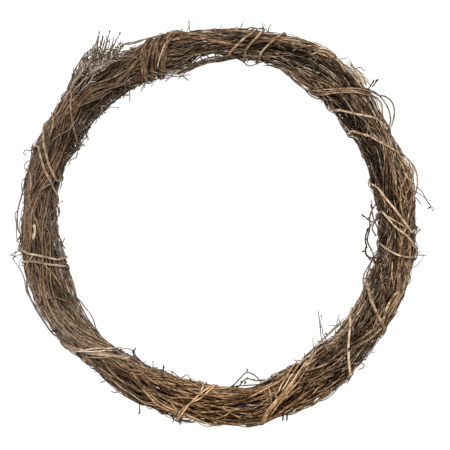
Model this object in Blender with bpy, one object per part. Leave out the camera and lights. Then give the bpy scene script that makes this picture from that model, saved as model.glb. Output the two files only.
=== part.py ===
"""A rattan wreath, lying face up: vines in a ring-shaped bundle, wound with binders, and loose twigs.

Metres, +Z up. The origin is the middle of the wreath's box, on the surface that it lies on.
Two angles in degrees place everything. A bearing runs round the wreath, from +X towards +Y. A clock runs
round the bundle at one bearing: 0 points away from the wreath's middle, 90 up, 180 towards it and 270 down.
"""

import math

import bmesh
import bpy
import numpy as np
from mathutils.bvhtree import BVHTree

MM = 0.001

# Where the middle of the ring lies, because the twigs reach further to some sides than to others
RING_MIDDLE = (-0.0068, 0.0017)

# Bearing, and inner and outer radius there in mm: the wreath is narrow where it is tied and swells between
OUTLINE = (
    (0, 160, 197),
    (13, 156.5, 203),
    (27, 159, 197),
    (46, 157, 204),
    (60, 165, 203),
    (73, 165, 200),
    (86, 162, 196.5),
    (97, 160.5, 196.5),
    (107, 155, 198.5),
    (124, 157.5, 198.5),
    (134, 158, 203),
    (146, 157, 199),
    (172, 162.5, 197),
    (194, 155.5, 203),
    (212, 159.5, 198),
    (228, 160, 192.5),
    (251, 156.5, 200),
    (272, 163, 203.5),
    (290, 164, 205),
    (306, 158, 204),
    (330, 158, 196.5),
    (346, 158.5, 201),
)
OUTER_LAYER = 1.6 * MM  # runners and binders stand this far outside the strands
HALF_HEIGHT = 16 * MM  # of the strands together
BUNDLE_LEVEL = 21.3 * MM  # the bundle's middle above the surface
SAG = 1.3 * MM  # the ring dips by this at its three resting places, and bows up between them
RESTING_BEARING = 350.0  # one of the three

# The strands, each several vines lying together
SLICES = 42
INNER_STRANDS = 4
OUTER_STRANDS = 12
INNER_ORBIT, INNER_GIRTH = 0.30, 0.265  # shares of the bundle's half width
OUTER_ORBIT, OUTER_GIRTH = 0.785, 0.205
GIRTH_SPREAD = 0.16
TWIST_TURNS = 1  # the bundle's own twist in one turn of the wreath
WANDER = 0.085
WANDER_WAVES = (1, 2, 3, 5)  # in one turn of the wreath
STRAND_GAP = 0.018
PACK_TURNS = 500
PACK_PUSH = 0.3  # of an overlap, in one turn
PACK_SMOOTHING = 0.15
FAR_APART = 10.0
GROWTH = 1.22  # a strand swells by up to this where its neighbours leave room
GROWTH_PER_SLICE = 1.06
VINES_PER_STRAND = (3, 4, 4)  # an outer strand has one of these numbers
CORE_SIDES = 3  # of an inner strand, which nothing shows of
SPIN = (-1.0, 1.6)  # turns of a strand's own vines in one turn of the wreath
VALLEY = 0.74  # depth between two vines of a strand, as a share of the line between their crests
TAPER = (0.5, 0.82)  # of a strand's first two and last two slices
STRAND_TIP = 0.35  # length of a strand's pointed end, in slices
TIE_START = 2  # the binder over the first strand's ends, counted from the collar
TIE_STRIDE = 5  # binders from the one over a strand's ends to the one over the next strand's ends
SEED = 7

# What is laid over the strands
LAY_GAP = 0.35 * MM
BEARING_CELLS, CLOCK_CELLS = 720, 90
WIND_STEP = 20.0  # degrees of clock from one bend of a binder to the next
RUN_STEP = 5.0  # degrees of bearing from one bend of a runner to the next
LOOSE_STEP = 2.5
FINE_STEPS = 10  # between two bends, where the way is felt for what lies under it
COVER_SAMPLES = 20  # along each side of a triangle
DRAPE_TURNS = 300
DRAPE_STEP = 0.3
SETTLE_TURNS = 10
SETTLED = 1.2 * LAY_GAP
TIGHTEN_TURNS = 3
ACROSS_SAMPLES = (0.0, 0.25, 0.5, 0.75)
ALONG_SAMPLES = (0.0, 0.2, 0.4, 0.6, 0.8)
LIFT_TURNS = 20
LIFT = 0.15 * MM
TIP = 1.6  # length of a vine's pointed end, in radii
SURFACE_FLAT = 0.0  # a binder that the wreath rests on is pressed flat at this height
VINE_SIDES = 4
BINDER_SIDES = 5
ROW_PITCH = 1.8  # from one vine to the next of several side by side, in radii
ROW_VALLEY = 0.55  # how far out the row reaches between two of them
ROW_EDGE = 0.95
ROW_FOOT = 0.3

# Binders: radius in mm, vines side by side, and for each winding its bearing at the outer and inner edge
BINDERS = {
    "binder_collar": (1.7, 1, ((102.4, 113.3), (106.2, 117.3), (110.2, 120.8))),
    "binder_top": (1.35, 1, ((71.3, 77.5), (76.4, 83.2), (79.4, 87.3))),
    "binder_upper_right": (1.35, 2, ((39.1, 52.2),)),
    "binder_right_high": (1.4, 1, ((15.0, 33.5), (28.7, 44.2))),
    "binder_right": (1.5, 1, ((-6.9, 4.3), (-3.6, 13.6))),
    "binder_right_low": (1.6, 1, ((-11.6, -7.5),)),
    "binder_strap": (2.3, 1, ((-34.1, -23.0),)),
    "binder_cane": (1.8, 1, ((-50.2, -36.7),)),
    "binder_lower_right": (1.35, 3, ((-77.5, -57.1),)),
    "binder_bottom": (1.6, 1, ((258.3, 264.8), (260.4, 268.3))),
    "binder_lower_left": (1.3, 3, ((220.9, 237.2),)),
    "binder_left": (1.4, 1, ((187.0, 193.0), (191.6, 196.6))),
    "binder_upper_left": (1.5, 1, ((152.8, 168.7), (158.4, 170.8))),
    "binder_shoulder": (1.7, 1, ((138.6, 149.3),)),
}
RESTING_BINDERS = ("binder_collar", "binder_lower_left", "binder_right_low")
BINDER_END = 0.5  # girth of a binder's last bend
TAIL = 60.0  # degrees of clock that a binder goes on for below its first and last edge
RESTING_TAIL = 120.0  # the same for one that the wreath rests on
UNDERSIDE = 0.95  # how nearly straight down the way out of the bundle points where such a binder touches
PRESSED = 0.6 * MM  # so deep it would reach into the surface if it were not pressed flat there

# Runners: radius in mm, then bearing and clock
RUNNERS = {
    "runner_1": (1.6, ((150, 70), (128, 120), (104, 60), (84, 105), (60, 18), (44, 50))),
    "runner_2": (1.4, ((66, 160), (50, 110), (30, 75), (8, 120), (-14, 60), (-32, 10))),
    "runner_3": (1.6, ((12, 30), (-8, 78), (-28, 42), (-48, 100), (-70, 140), (-88, 95))),
    "runner_4": (1.5, ((-60, 60), (-82, 20), (-104, 75), (-126, 150), (-150, 95))),
    "runner_5": (1.4, ((276, 120), (256, 160), (236, 110), (210, 60), (186, 105), (166, 40))),
    "runner_6": (1.5, ((204, 20), (180, 72), (158, 130), (136, 90), (118, 150))),
    "runner_7": (1.6, ((100, 336), (70, 322), (40, 338), (10, 326), (-20, 340))),
    "runner_8": (1.5, ((330, 205), (300, 220), (270, 200), (240, 216), (205, 198), (175, 218))),
}
RUNNER_END = 0.55  # girth of a runner's last bend
RUNNER_GIRTHS = (0.9, 1.1)

# Loose strands: radius in mm, then bearing, clock and how far it stands off, in mm
LOOSE_STRANDS = {
    "loose_loop": (
        0.95,
        ((48, 60, 0), (43, 32, 0), (39, 14, 4), (34, 3, 9), (31, 0, 7), (28, 12, 0), (24.5, 35, 0)),
    ),
    "loose_loop_inner": (
        0.9,
        ((45, 20, 0), (40.5, 4, 2), (36, -12, 4), (32, -6, 2), (29, -12, 0), (26, -25, 0)),
    ),
    "loose_top_left": (
        0.9,
        ((127, 30, 0), (122, 14, 3), (118.5, 8, 7), (114, 4, 5), (110.5, 12, 0), (106.5, 35, 0)),
    ),
    "loose_inner_top": (
        0.9,
        ((109, 145, 0), (103, 172, 3), (97, 178, 3.5), (91, 176, 3), (86, 152, 0)),
    ),
    "loose_inner_upper_right": (
        0.95,
        ((72, 140, 0), (65, 168, 2.5), (59, 176, 4), (53, 170, 2.5), (47, 140, 0)),
    ),
    "loose_left_edge": (
        0.85,
        ((166, 25, 0), (171, 8, 2), (177, 0, 5), (181.5, 2, 2.5), (184.5, 22, 0)),
    ),
    "loose_lower_left": (
        0.95,
        ((195, 25, 0), (199, 4, 3), (204.5, -4, 4), (210, 0, 3), (214.5, 10, 0), (218, 30, 0)),
    ),
    "loose_inner_left": (0.85, ((203, 165, 0), (210, 178, 3.5), (217, 184, 3), (224, 168, 0))),
    "loose_inner_right": (
        0.9,
        ((-9, 150, 0), (-14, 172, 3), (-20, 180, 5), (-26, 160, 0), (-33, 130, 0)),
    ),
    "tendril_right": (
        0.9,
        ((8, 150, 0), (3, 170, 6), (-2.5, 178, 9.5), (-7, 182, 9), (-11.5, 175, 3), (-17, 150, 0)),
    ),
    "tendril_bottom": (
        0.85,
        ((273, 150, 0), (276.5, 174, 3), (280.5, 176, 10), (283.5, 180, 7), (287, 168, 0)),
    ),
    "tendril_lower_right": (
        0.85,
        ((-33, 150, 0), (-37, 172, 1.5), (-43, 178, 5), (-50, 172, 3), (-55, 150, 0)),
    ),
}
TENDRIL_BUDS = slice(3, -2, 4)  # bends of a tendril

# Twigs: bearing and clock of the root, bearing, radius in mm and height in mm of the tip, number of shoots
TWIGS = {
    "brush_low": ((136.2, -22), (120.5, 205, 12), 8),
    "brush_middle": ((136.0, 6), (121.5, 216, 20), 10),
    "brush_high": ((136.0, 34), (119.0, 211, 29), 10),
    "brush_crown": ((136.0, 60), (117.0, 204, 39), 8),
    "twig_top": ((99.6, 12), (98.3, 200, 27), 1),
    "twig_left": ((189.3, 2), (189.6, 204, 24), 2),
    "twig_right": ((10.0, 16), (3.2, 214, 26), 1),
    "twig_right_spike": ((-14.5, 6), (-9.4, 208, 23), 0),
    "twig_lower_right": ((-52, 168), (-42.4, 140, 24), 3),
}
TWIG_GIRTH = 1.05 * MM
TWIG_TAPER = (1.15, 0.6)
TWIG_TIP = 1.2  # the bud at its end
TWIG_BENDS = 6
TWIG_BOW = 0.16  # of the twig's own length
SHOOT_GIRTH = 0.8 * MM
SHOOT_TAPER = (1.1, 0.8, 0.55)
SHOOT_BENDS = (0.0, 0.5, 0.88)  # shares of its length
SHOOT_CURVE = 0.18
SHOOT_LENGTH = (0.16, 0.30)  # of the twig's own length
SHOOT_LEAN = 0.42  # across the twig, as a share of the way along it
SHOOT_LEAN_SPREAD = (0.6, 1.25)
SHOOT_RISE = 0.08
SHOOT_PLACES = (0.15, 0.9)  # along the twig
BUD = 1.75  # how far a bud swells its twig
SPUR_LENGTH = (6 * MM, 11 * MM)  # the short side shoots of runners
SPUR_LEAN = (0.5, 1.2)
SPUR_ROOT = 0.2  # how far out of the runner's middle a spur starts, in radii
SPUR_EVERY = 5  # bends of the runner

MATERIALS = {
    "bark_brown": ((0.145, 0.098, 0.062), 0.85),
    "bark_grey": ((0.125, 0.105, 0.082), 0.90),
    "bark_tan": ((0.245, 0.165, 0.100), 0.80),
    "binder_tan": ((0.360, 0.240, 0.140), 0.70),
    "twig_dark": ((0.085, 0.068, 0.052), 0.90),
}


def eased(at, stations, values):
    """Values through the stations: level at each, and easing to the next along half a cosine."""
    stations, values = np.asarray(stations, float), np.asarray(values, float)
    left = np.clip(np.searchsorted(stations, at, side="right") - 1, 0, len(stations) - 2)
    share = (at - stations[left]) / (stations[left + 1] - stations[left])
    return values[left] + (values[left + 1] - values[left]) * (0.5 - 0.5 * np.cos(np.pi * share))


def bundle(bearing):
    """The bundle's middle radius, middle height and half width at these bearings."""
    around = np.mod(bearing, 360.0)
    stations, inner, outer = (list(column) for column in zip(*OUTLINE))
    inner_edge = eased(around, stations + [360], inner + inner[:1]) * MM
    outer_edge = eased(around, stations + [360], outer + outer[:1]) * MM
    level = BUNDLE_LEVEL - SAG * np.cos(3 * np.radians(bearing - RESTING_BEARING))
    return (inner_edge + outer_edge) / 2, level, (outer_edge - inner_edge) / 2 - OUTER_LAYER


def world(bearing, away, up):
    """Positions at a bearing: away from the ring's middle, and up from the surface."""
    turn = np.radians(bearing)
    x = RING_MIDDLE[0] + away * np.cos(turn)
    y = RING_MIDDLE[1] + away * np.sin(turn)
    return np.stack(np.broadcast_arrays(x, y, up), axis=-1)


def over_bundle(bearing, clock, reach):
    """Positions that far from the bundle's middle line, at a bearing and clock."""
    middle, level, _ = bundle(bearing)
    turn = np.radians(clock)
    return world(bearing, middle + reach * np.cos(turn), level + reach * np.sin(turn))


def pack_strands():
    """Middles and girths of the strands in a disc of radius 1, for each slice of the ring.

    They start on two orbits, wander along the ring and are pushed apart. Each then fills the room it is left.
    """
    rng = np.random.default_rng(SEED)
    count = INNER_STRANDS + OUTER_STRANDS
    orbit = np.r_[np.full(INNER_STRANDS, INNER_ORBIT), np.full(OUTER_STRANDS, OUTER_ORBIT)]
    girth = np.r_[np.full(INNER_STRANDS, INNER_GIRTH), np.full(OUTER_STRANDS, OUTER_GIRTH)]
    girth = girth * rng.uniform(1 - GIRTH_SPREAD, 1 + GIRTH_SPREAD, count)
    places = (np.arange(number) / number for number in (INNER_STRANDS, OUTER_STRANDS))
    start = 2 * np.pi * np.concatenate(list(places))
    middles = np.stack((orbit * np.cos(start), orbit * np.sin(start)), axis=-1)
    middles = middles[:, None].repeat(SLICES, axis=1)
    turn = 2 * np.pi * np.arange(SLICES) / SLICES
    for harmonic in WANDER_WAVES:
        phase = rng.uniform(0, 2 * np.pi, (count, 1, 2))
        middles += WANDER / math.sqrt(harmonic) * np.sin(harmonic * turn[None, :, None] + phase)

    sums = girth[:, None] + girth[None, :] + STRAND_GAP
    for _ in range(PACK_TURNS):
        apart = middles[:, None] - middles[None, :]
        distance = np.linalg.norm(apart, axis=-1) + 1e-9
        overlap = np.clip(sums[..., None] - distance, 0, None)
        overlap[np.arange(count), np.arange(count)] = 0
        middles += PACK_PUSH * (overlap[..., None] * apart / distance[..., None]).sum(axis=1)
        out = np.linalg.norm(middles, axis=-1)
        middles *= (np.minimum(out, 1 - girth[:, None]) / (out + 1e-9))[..., None]
        beside = np.roll(middles, 1, axis=1) + np.roll(middles, -1, axis=1)
        middles += PACK_SMOOTHING * (beside - 2 * middles) / 2

    apart = np.linalg.norm(middles[:, None] - middles[None, :], axis=-1) - STRAND_GAP
    share = girth[:, None] / (girth[:, None] + girth[None, :])
    apart[np.arange(count), np.arange(count)] = FAR_APART
    room = (apart * share[..., None]).min(axis=1)
    beside = np.minimum(np.roll(room, 1, axis=1), np.roll(room, -1, axis=1))
    room = np.minimum(room, beside * GROWTH_PER_SLICE)
    return middles, np.minimum(room, girth[:, None] * GROWTH)


def shell(rings, first, last):
    """Points and faces of a closed skin through rings of points, drawn to a point at each end."""
    count, sides = rings.shape[:2]
    points = np.concatenate((rings.reshape(-1, 3), first[None], last[None]))
    faces = []
    for ring in range(count - 1):
        for side in range(sides):
            here, beside = ring * sides + side, ring * sides + (side + 1) % sides
            faces.append((here, beside, beside + sides, here + sides))
    end = (count - 1) * sides
    for side in range(sides):
        faces.append(((side + 1) % sides, side, len(points) - 2))
        faces.append((end + side, end + (side + 1) % sides, len(points) - 1))
    return points, faces


def mesh_of(name, rings, first, last):
    points, faces = shell(rings, first, last)
    mesh = bpy.data.meshes.new(name)
    mesh.from_pydata(points.tolist(), [], faces)
    tidy = bmesh.new()
    tidy.from_mesh(mesh)
    bmesh.ops.recalc_face_normals(tidy, faces=tidy.faces)
    tidy.to_mesh(mesh)
    tidy.free()
    mesh.shade_smooth()
    return mesh


def cluster_section(vines, spin):
    """Outline of several vines lying together, of radius 1: a crest for each, and valleys between them."""
    step = np.arange(2 * vines)
    angle = np.pi * step / vines + spin
    reach = np.where(step % 2 == 0, 1.0, VALLEY * math.cos(math.pi / vines))
    return np.stack((reach * np.cos(angle), reach * np.sin(angle)), axis=-1)


def row_section(vines, sides=BINDER_SIDES):
    """Outline, across and out, of one vine, or of several lying side by side, each of radius 1."""
    if vines == 1:
        angle = 2 * np.pi * np.arange(sides) / sides - np.pi / 2
        return np.stack((np.cos(angle), np.sin(angle)), axis=-1)
    crests = ROW_PITCH * (np.arange(vines) - (vines - 1) / 2)
    top = [(x, 1.0) for x in crests]
    valleys = [((a + b) / 2, ROW_VALLEY) for a, b in zip(crests, crests[1:])]
    right = [(crests[-1] + ROW_EDGE, 0.0), (crests[-1] + ROW_FOOT, -ROW_EDGE)]
    left = [(crests[0] - ROW_FOOT, -ROW_EDGE), (crests[0] - ROW_EDGE, 0.0)]
    return np.array(sorted(top + valleys) + right + left)


def outward_reach(vines):
    """How far out the lowest facet of such a section lies: a row is pressed down to its valleys."""
    return row_section(vines)[:, 1].max() if vines == 1 else ROW_VALLEY


def tube_points(path, outward, section, girth):
    """Rings of a section carried along a path, facing outward, and the tips at its two ends."""
    along = np.gradient(path, axis=0)
    along /= np.linalg.norm(along, axis=1, keepdims=True)
    across = np.cross(along, outward)
    across /= np.linalg.norm(across, axis=1, keepdims=True)
    out = np.cross(across, along)
    girth = np.broadcast_to(girth, len(path))[:, None, None]
    rings = path[:, None] + girth * (section[:, :1] * across[:, None] + section[:, 1:] * out[:, None])
    first = rings[0].mean(axis=0) - along[0] * TIP * girth[0, 0]
    last = rings[-1].mean(axis=0) + along[-1] * TIP * girth[-1, 0]
    return rings, first, last


def tube(name, path, outward, section, girth, pressed=False):
    """A closed tube along a path, pressed flat where it would reach into the surface."""
    rings, first, last = tube_points(path, outward, section, girth)
    if pressed:
        for points in (rings, first, last):
            points[..., 2] = np.maximum(points[..., 2], SURFACE_FLAT)
    return mesh_of(name, rings, first, last)


class Surface:
    """How far from the bundle's middle line the wreath reaches so far, by bearing and clock."""

    def __init__(self):
        self.reach = np.zeros((BEARING_CELLS, CLOCK_CELLS))
        self.corners = {}

    def cover(self, mesh):
        """Takes in a new piece, felt at a grid of points on each of its triangles."""
        mesh.calc_loop_triangles()
        points = np.array([v.co for v in mesh.vertices])
        corners = points[np.array([t.vertices for t in mesh.loop_triangles])]
        self.corners[mesh.name] = corners
        top = COVER_SAMPLES
        shares = [(i, j, top - i - j) for i in range(top + 1) for j in range(top + 1 - i)]
        felt = np.einsum("gk,tkc->tgc", np.array(shares) / top, corners).reshape(-1, 3)
        x, y = felt[:, 0] - RING_MIDDLE[0], felt[:, 1] - RING_MIDDLE[1]
        bearing = np.degrees(np.arctan2(y, x))
        middle, level, _ = bundle(bearing)
        away, up = np.hypot(x, y) - middle, felt[:, 2] - level
        clock = np.degrees(np.arctan2(up, away))
        np.maximum.at(self.reach, self.cells(bearing, clock), np.hypot(away, up))

    @staticmethod
    def cells(bearing, clock):
        row = np.floor(bearing * BEARING_CELLS / 360).astype(int) % BEARING_CELLS
        column = np.floor(clock * CLOCK_CELLS / 360).astype(int) % CLOCK_CELLS
        return row, column

    def clear(self, bearing, clock, spread, rise):
        """Reach at which a vine of this half width and half thickness clears what is there."""
        row, column = self.cells(bearing, clock)
        middle, _, half_width = bundle(bearing)
        rows = math.ceil(spread / (middle.min() * math.radians(360 / BEARING_CELLS))) + 1
        columns = math.ceil(spread / (half_width.min() * math.radians(360 / CLOCK_CELLS))) + 1
        found = np.zeros(len(row))
        for i in range(-rows, rows + 1):
            for j in range(-columns, columns + 1):
                beside = self.reach[(row + i) % BEARING_CELLS, (column + j) % CLOCK_CELLS]
                found = np.maximum(found, beside)
        return found + rise + LAY_GAP

    def tree(self, without=""):
        """A tree of all triangles so far, to find the nearest point in, but for those of one piece."""
        corners = np.concatenate([part for name, part in self.corners.items() if name != without])
        faces = np.arange(3 * len(corners)).reshape(-1, 3)
        return BVHTree.FromPolygons(corners.reshape(-1, 3).tolist(), faces.tolist())


def settle(tree, path, outward, section, girth, end):
    """Moves one end of a path towards what it lies on, until the tube's end nearly touches it."""
    for _ in range(SETTLE_TURNS):
        rings, first, last = tube_points(path, outward, section, girth)
        near = np.vstack((rings[end], first if end == 0 else last))
        found = [tree.find_nearest(point) for point in near]
        k = min(range(len(near)), key=lambda i: found[i][3])
        if found[k][3] < SETTLED:
            return
        path[end] += (np.array(found[k][0]) - near[k]) / found[k][3] * (found[k][3] - LAY_GAP)


def lift_clear(tree, path, outward, section, girth):
    """Lifts the bends of a path where its tube would still pass through something."""
    sides = len(section)
    for _ in range(LIFT_TURNS):
        points, faces = shell(*tube_points(path, outward, section, girth))
        crossing = BVHTree.FromPolygons(points.tolist(), faces).overlap(tree)
        if not crossing:
            return
        touched = np.array([face for face, _ in crossing])
        wall = (len(path) - 1) * sides
        at_tip = (touched - wall) % 2 * (len(path) - 2)
        ring = np.where(touched < wall, touched // sides, at_tip)
        bends = np.union1d(ring, ring + 1)
        path[bends] += LIFT * outward[bends]


def tighten(tree, path, outward, section, girth):
    """Draws a whole winding in until LAY_GAP is left where it comes nearest to what it is wound over."""
    for _ in range(TIGHTEN_TURNS):
        rings, _, _ = tube_points(path, outward, section, girth)
        beside = np.roll(rings, -1, axis=1)
        felt = []
        for across in ACROSS_SAMPLES:
            line = rings + across * (beside - rings)
            felt += [line[:-1] + along * np.diff(line, axis=0) for along in ALONG_SAMPLES]
        nearest = min(tree.find_nearest(point)[3] for points in felt for point in points.reshape(-1, 3))
        path -= outward * max(0.0, nearest - LAY_GAP)


def drape(needed):
    """Least reach at every FINE_STEPS-th place whose straight lines are nowhere under what is needed."""
    reach = needed[::FINE_STEPS].copy()
    place = np.arange(len(needed))
    left = np.minimum(place // FINE_STEPS, len(reach) - 2)
    share = place / FINE_STEPS - left
    for _ in range(DRAPE_TURNS):
        short = DRAPE_STEP * (needed - (1 - share) * reach[left] - share * reach[left + 1])
        more = np.zeros(len(reach))
        np.maximum.at(more, left, short * (1 - share) ** 3)
        np.maximum.at(more, left + 1, short * share**3)
        reach += more
    return reach


def lay(surface, bearing, clock, lift, spread, rise):
    """A path over the wreath so far, bent at every FINE_STEPS-th place, and the way outward at each bend."""
    needed = surface.clear(bearing, clock, spread, rise)
    bends = np.arange(0, len(bearing), FINE_STEPS)
    half_turn = np.radians(np.gradient(clock) * FINE_STEPS / 2)
    half_bearing = np.radians(np.gradient(bearing) * FINE_STEPS / 2)
    chord_sag = bundle(bearing)[0] * (1 - np.cos(half_bearing))
    needed = needed / np.cos(half_turn) + chord_sag * np.clip(np.cos(np.radians(clock)), 0, 1)
    reach = drape(needed) + lift[bends]
    path = over_bundle(bearing[bends], clock[bends], reach)
    outward = path - over_bundle(bearing[bends], clock[bends], 0 * reach)
    return path, outward / np.linalg.norm(outward, axis=1, keepdims=True)


def add(name, mesh, material):
    obj = bpy.data.objects.new(name, mesh)
    mesh.materials.clear()
    mesh.materials.append(material)
    bpy.context.scene.collection.objects.link(obj)
    return obj


def free_of(tree, meshes):
    """Those meshes that cross nothing in the tree."""
    found = []
    for mesh in meshes:
        points = [vertex.co for vertex in mesh.vertices]
        if not BVHTree.FromPolygons(points, [face.vertices for face in mesh.polygons]).overlap(tree):
            found.append(mesh)
    return found


def fuse(name, stem, shoots, material):
    """One object of a stem and its shoots, whose roots are sunk in it, joined by a Boolean union."""
    obj = add(name, stem, material)
    if not shoots:
        return obj
    together = bpy.data.collections.new(name + "_shoots")
    bpy.context.scene.collection.children.link(together)
    for shoot in shoots:
        together.objects.link(bpy.data.objects.new(shoot.name, shoot))
    union = obj.modifiers.new("shoots", "BOOLEAN")
    union.operation = "UNION"
    union.solver = "EXACT"
    union.operand_type = "COLLECTION"
    union.collection = together
    graph = bpy.context.evaluated_depsgraph_get()
    joined = bpy.data.meshes.new_from_object(obj.evaluated_get(graph), depsgraph=graph)
    obj.modifiers.clear()
    obj.data = joined
    for shoot in list(together.objects):
        bpy.data.objects.remove(shoot)
    bpy.data.collections.remove(together)
    joined.materials.clear()
    joined.materials.append(material)
    return obj


def make_strands(surface, materials):
    """The strands of the bundle. Each is open, and its two pointed ends meet under a binder."""
    rng = np.random.default_rng(SEED + 1)
    middles, girths = pack_strands()
    ties = [np.mean(windings[0]) for _, _, windings in BINDERS.values()]
    for strand in range(INNER_STRANDS + OUTER_STRANDS):
        outer = strand >= INNER_STRANDS
        tie = ties[(TIE_START + strand * TIE_STRIDE) % len(ties)]
        begin = round(tie / 360 * SLICES) + 1
        slices = (begin + np.arange(SLICES - 1)) % SLICES
        bearing = 360.0 * slices / SLICES
        vines = int(rng.choice(VINES_PER_STRAND)) if outer else 1
        spin = rng.uniform(0, 2 * np.pi) + rng.uniform(*SPIN) * np.radians(bearing)
        size = girths[strand, slices].copy()
        size[: len(TAPER)] *= TAPER
        size[-len(TAPER) :] *= TAPER[::-1]
        rings = []
        for k, at in enumerate(bearing):
            section = cluster_section(vines, spin[k]) if outer else row_section(vines, CORE_SIDES)
            section = middles[strand, slices[k]] + size[k] * section
            turn = math.radians(TWIST_TURNS * at)
            x = section[:, 0] * math.cos(turn) - section[:, 1] * math.sin(turn)
            y = section[:, 0] * math.sin(turn) + section[:, 1] * math.cos(turn)
            middle, level, half_width = bundle(at)
            rings.append(world(at, middle + half_width * x, level + HALF_HEIGHT * y))
        rings = np.array(rings)
        start, finish = rings[0].mean(axis=0), rings[-1].mean(axis=0)
        first = start + STRAND_TIP * (start - rings[1].mean(axis=0))
        last = finish + STRAND_TIP * (finish - rings[-2].mean(axis=0))
        number = strand - INNER_STRANDS + 1 if outer else strand + 1
        name = f"outer_strand_{number:02d}" if outer else f"inner_strand_{number:02d}"
        mesh = mesh_of(name, rings, first, last)
        surface.cover(mesh)
        add(name, mesh, materials["bark_grey" if number % 3 == 0 else "bark_brown"])


def spurs(name, path, outward, radius, rng):
    """Short side shoots with buds along a runner, leaning off it."""
    found = []
    for k in range(2, len(path) - 2, SPUR_EVERY):
        length, lean, side = rng.uniform(*SPUR_LENGTH), rng.uniform(*SPUR_LEAN), rng.choice((-1, 1))
        along = path[k + 1] - path[k - 1]
        along /= np.linalg.norm(along)
        way = outward[k] + side * lean * along
        way /= np.linalg.norm(way)
        root = path[k] + SPUR_ROOT * radius * way
        found.append(shoot_mesh(f"{name}_spur", root, way, along, length, True))
    return found


def shoot_mesh(name, root, way, bend_to, length, bud):
    """A three-sided shoot from root along way, bending towards bend_to, with a bud near its tip or none."""
    share = np.array(SHOOT_BENDS)[:, None]
    path = root + length * (share * way + SHOOT_CURVE * share**2 * bend_to)
    girth = SHOOT_GIRTH * np.array(SHOOT_TAPER)
    if bud:
        girth[-1] = SHOOT_GIRTH * BUD
    side = np.cross(way, bend_to) + 1e-4
    outward = np.broadcast_to(side / np.linalg.norm(side), path.shape)
    return tube(name, path, outward, row_section(1, CORE_SIDES), girth)


def make_runners(surface, runners, materials):
    """Single vines that wander over the bundle, or thinner ones that stand off it in loops."""
    rng = np.random.default_rng(SEED + 2)
    shooting = []
    for name, (radius, knots) in runners.items():
        tree = surface.tree()
        stations, clocks, *lifts = zip(*sorted(knots))
        lifts = lifts[0] if lifts else np.zeros(len(stations))
        loose = name in LOOSE_STRANDS
        step = (LOOSE_STEP if loose else RUN_STEP) / FINE_STEPS
        count = int((stations[-1] - stations[0]) / step / FINE_STEPS) * FINE_STEPS + 1
        bearing = np.linspace(stations[0], stations[-1], count)
        clock, lift = eased(bearing, stations, clocks), eased(bearing, stations, lifts) * MM
        path, outward = lay(surface, bearing, clock, lift, radius * MM, radius * MM)
        girth = radius * MM * np.ones(len(path))
        girth[[0, -1]] *= RUNNER_END
        girth[1:-1] *= rng.uniform(*RUNNER_GIRTHS, len(path) - 2)
        if name.startswith("tendril"):
            girth[TENDRIL_BUDS] *= BUD
        section = row_section(1, VINE_SIDES)
        if loose:
            for end in (0, -1):
                settle(tree, path, outward, section, girth, end)
        lift_clear(tree, path, outward, section, girth)
        mesh = tube(name, path, outward, section, girth)
        surface.cover(mesh)
        hidden = np.sin(np.radians(clocks)).mean() < 0
        if loose or hidden:
            add(name, mesh, materials["bark_grey" if loose else "bark_tan"])
        else:
            shooting.append((name, mesh, path, outward, radius * MM))
    return shooting


def make_spurs(surface, shooting, materials):
    """The side shoots of the runners, where there is room between all that is laid over the bundle."""
    rng = np.random.default_rng(SEED + 4)
    for name, mesh, path, outward, radius in shooting:
        shoots = free_of(surface.tree(name), spurs(name, path, outward, radius, rng))
        fuse(name, mesh, shoots, materials["bark_tan"])


def make_binders(surface, materials):
    """Vines wound round the bundle. Seen from above each winding is straight, from outer to inner edge."""
    for name, (radius, vines, windings) in BINDERS.items():
        pitch = windings[0][1] - windings[0][0]
        stations, bearings = [-180.0], [windings[0][0] - pitch]
        for turn, (outer, inner) in enumerate(windings):
            stations += [360.0 * turn, 360.0 * turn + 180]
            bearings += [outer, inner]
        stations.append(stations[-1] + 180)
        bearings.append(windings[-1][1] + pitch)
        fine = WIND_STEP / FINE_STEPS
        resting = name in RESTING_BINDERS
        tail = RESTING_TAIL if resting else TAIL
        clock = np.arange(-tail, stations[-2] + tail, fine)
        clock = clock[: (len(clock) - 1) // FINE_STEPS * FINE_STEPS + 1]
        bearing = eased(clock, stations, bearings)
        spread = radius * MM * (ROW_PITCH * (vines - 1) / 2 + ROW_EDGE)
        path, outward = lay(surface, bearing, clock, 0 * clock, spread, radius * MM)
        girth = radius * MM * np.ones(len(path))
        girth[[0, -1]] *= BINDER_END
        section = row_section(vines)
        tree = surface.tree()
        tighten(tree, path, outward, section, girth)
        lift_clear(tree, path, outward, section, girth)
        if resting:
            under = outward[:, 2] < -UNDERSIDE
            level = outward_reach(vines) * girth[under] - PRESSED
            path[under, 2] = np.minimum(path[under, 2], level)
        mesh = tube(name, path, outward, section, girth, resting)
        surface.cover(mesh)
        add(name, mesh, materials["binder_tan"])


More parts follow.
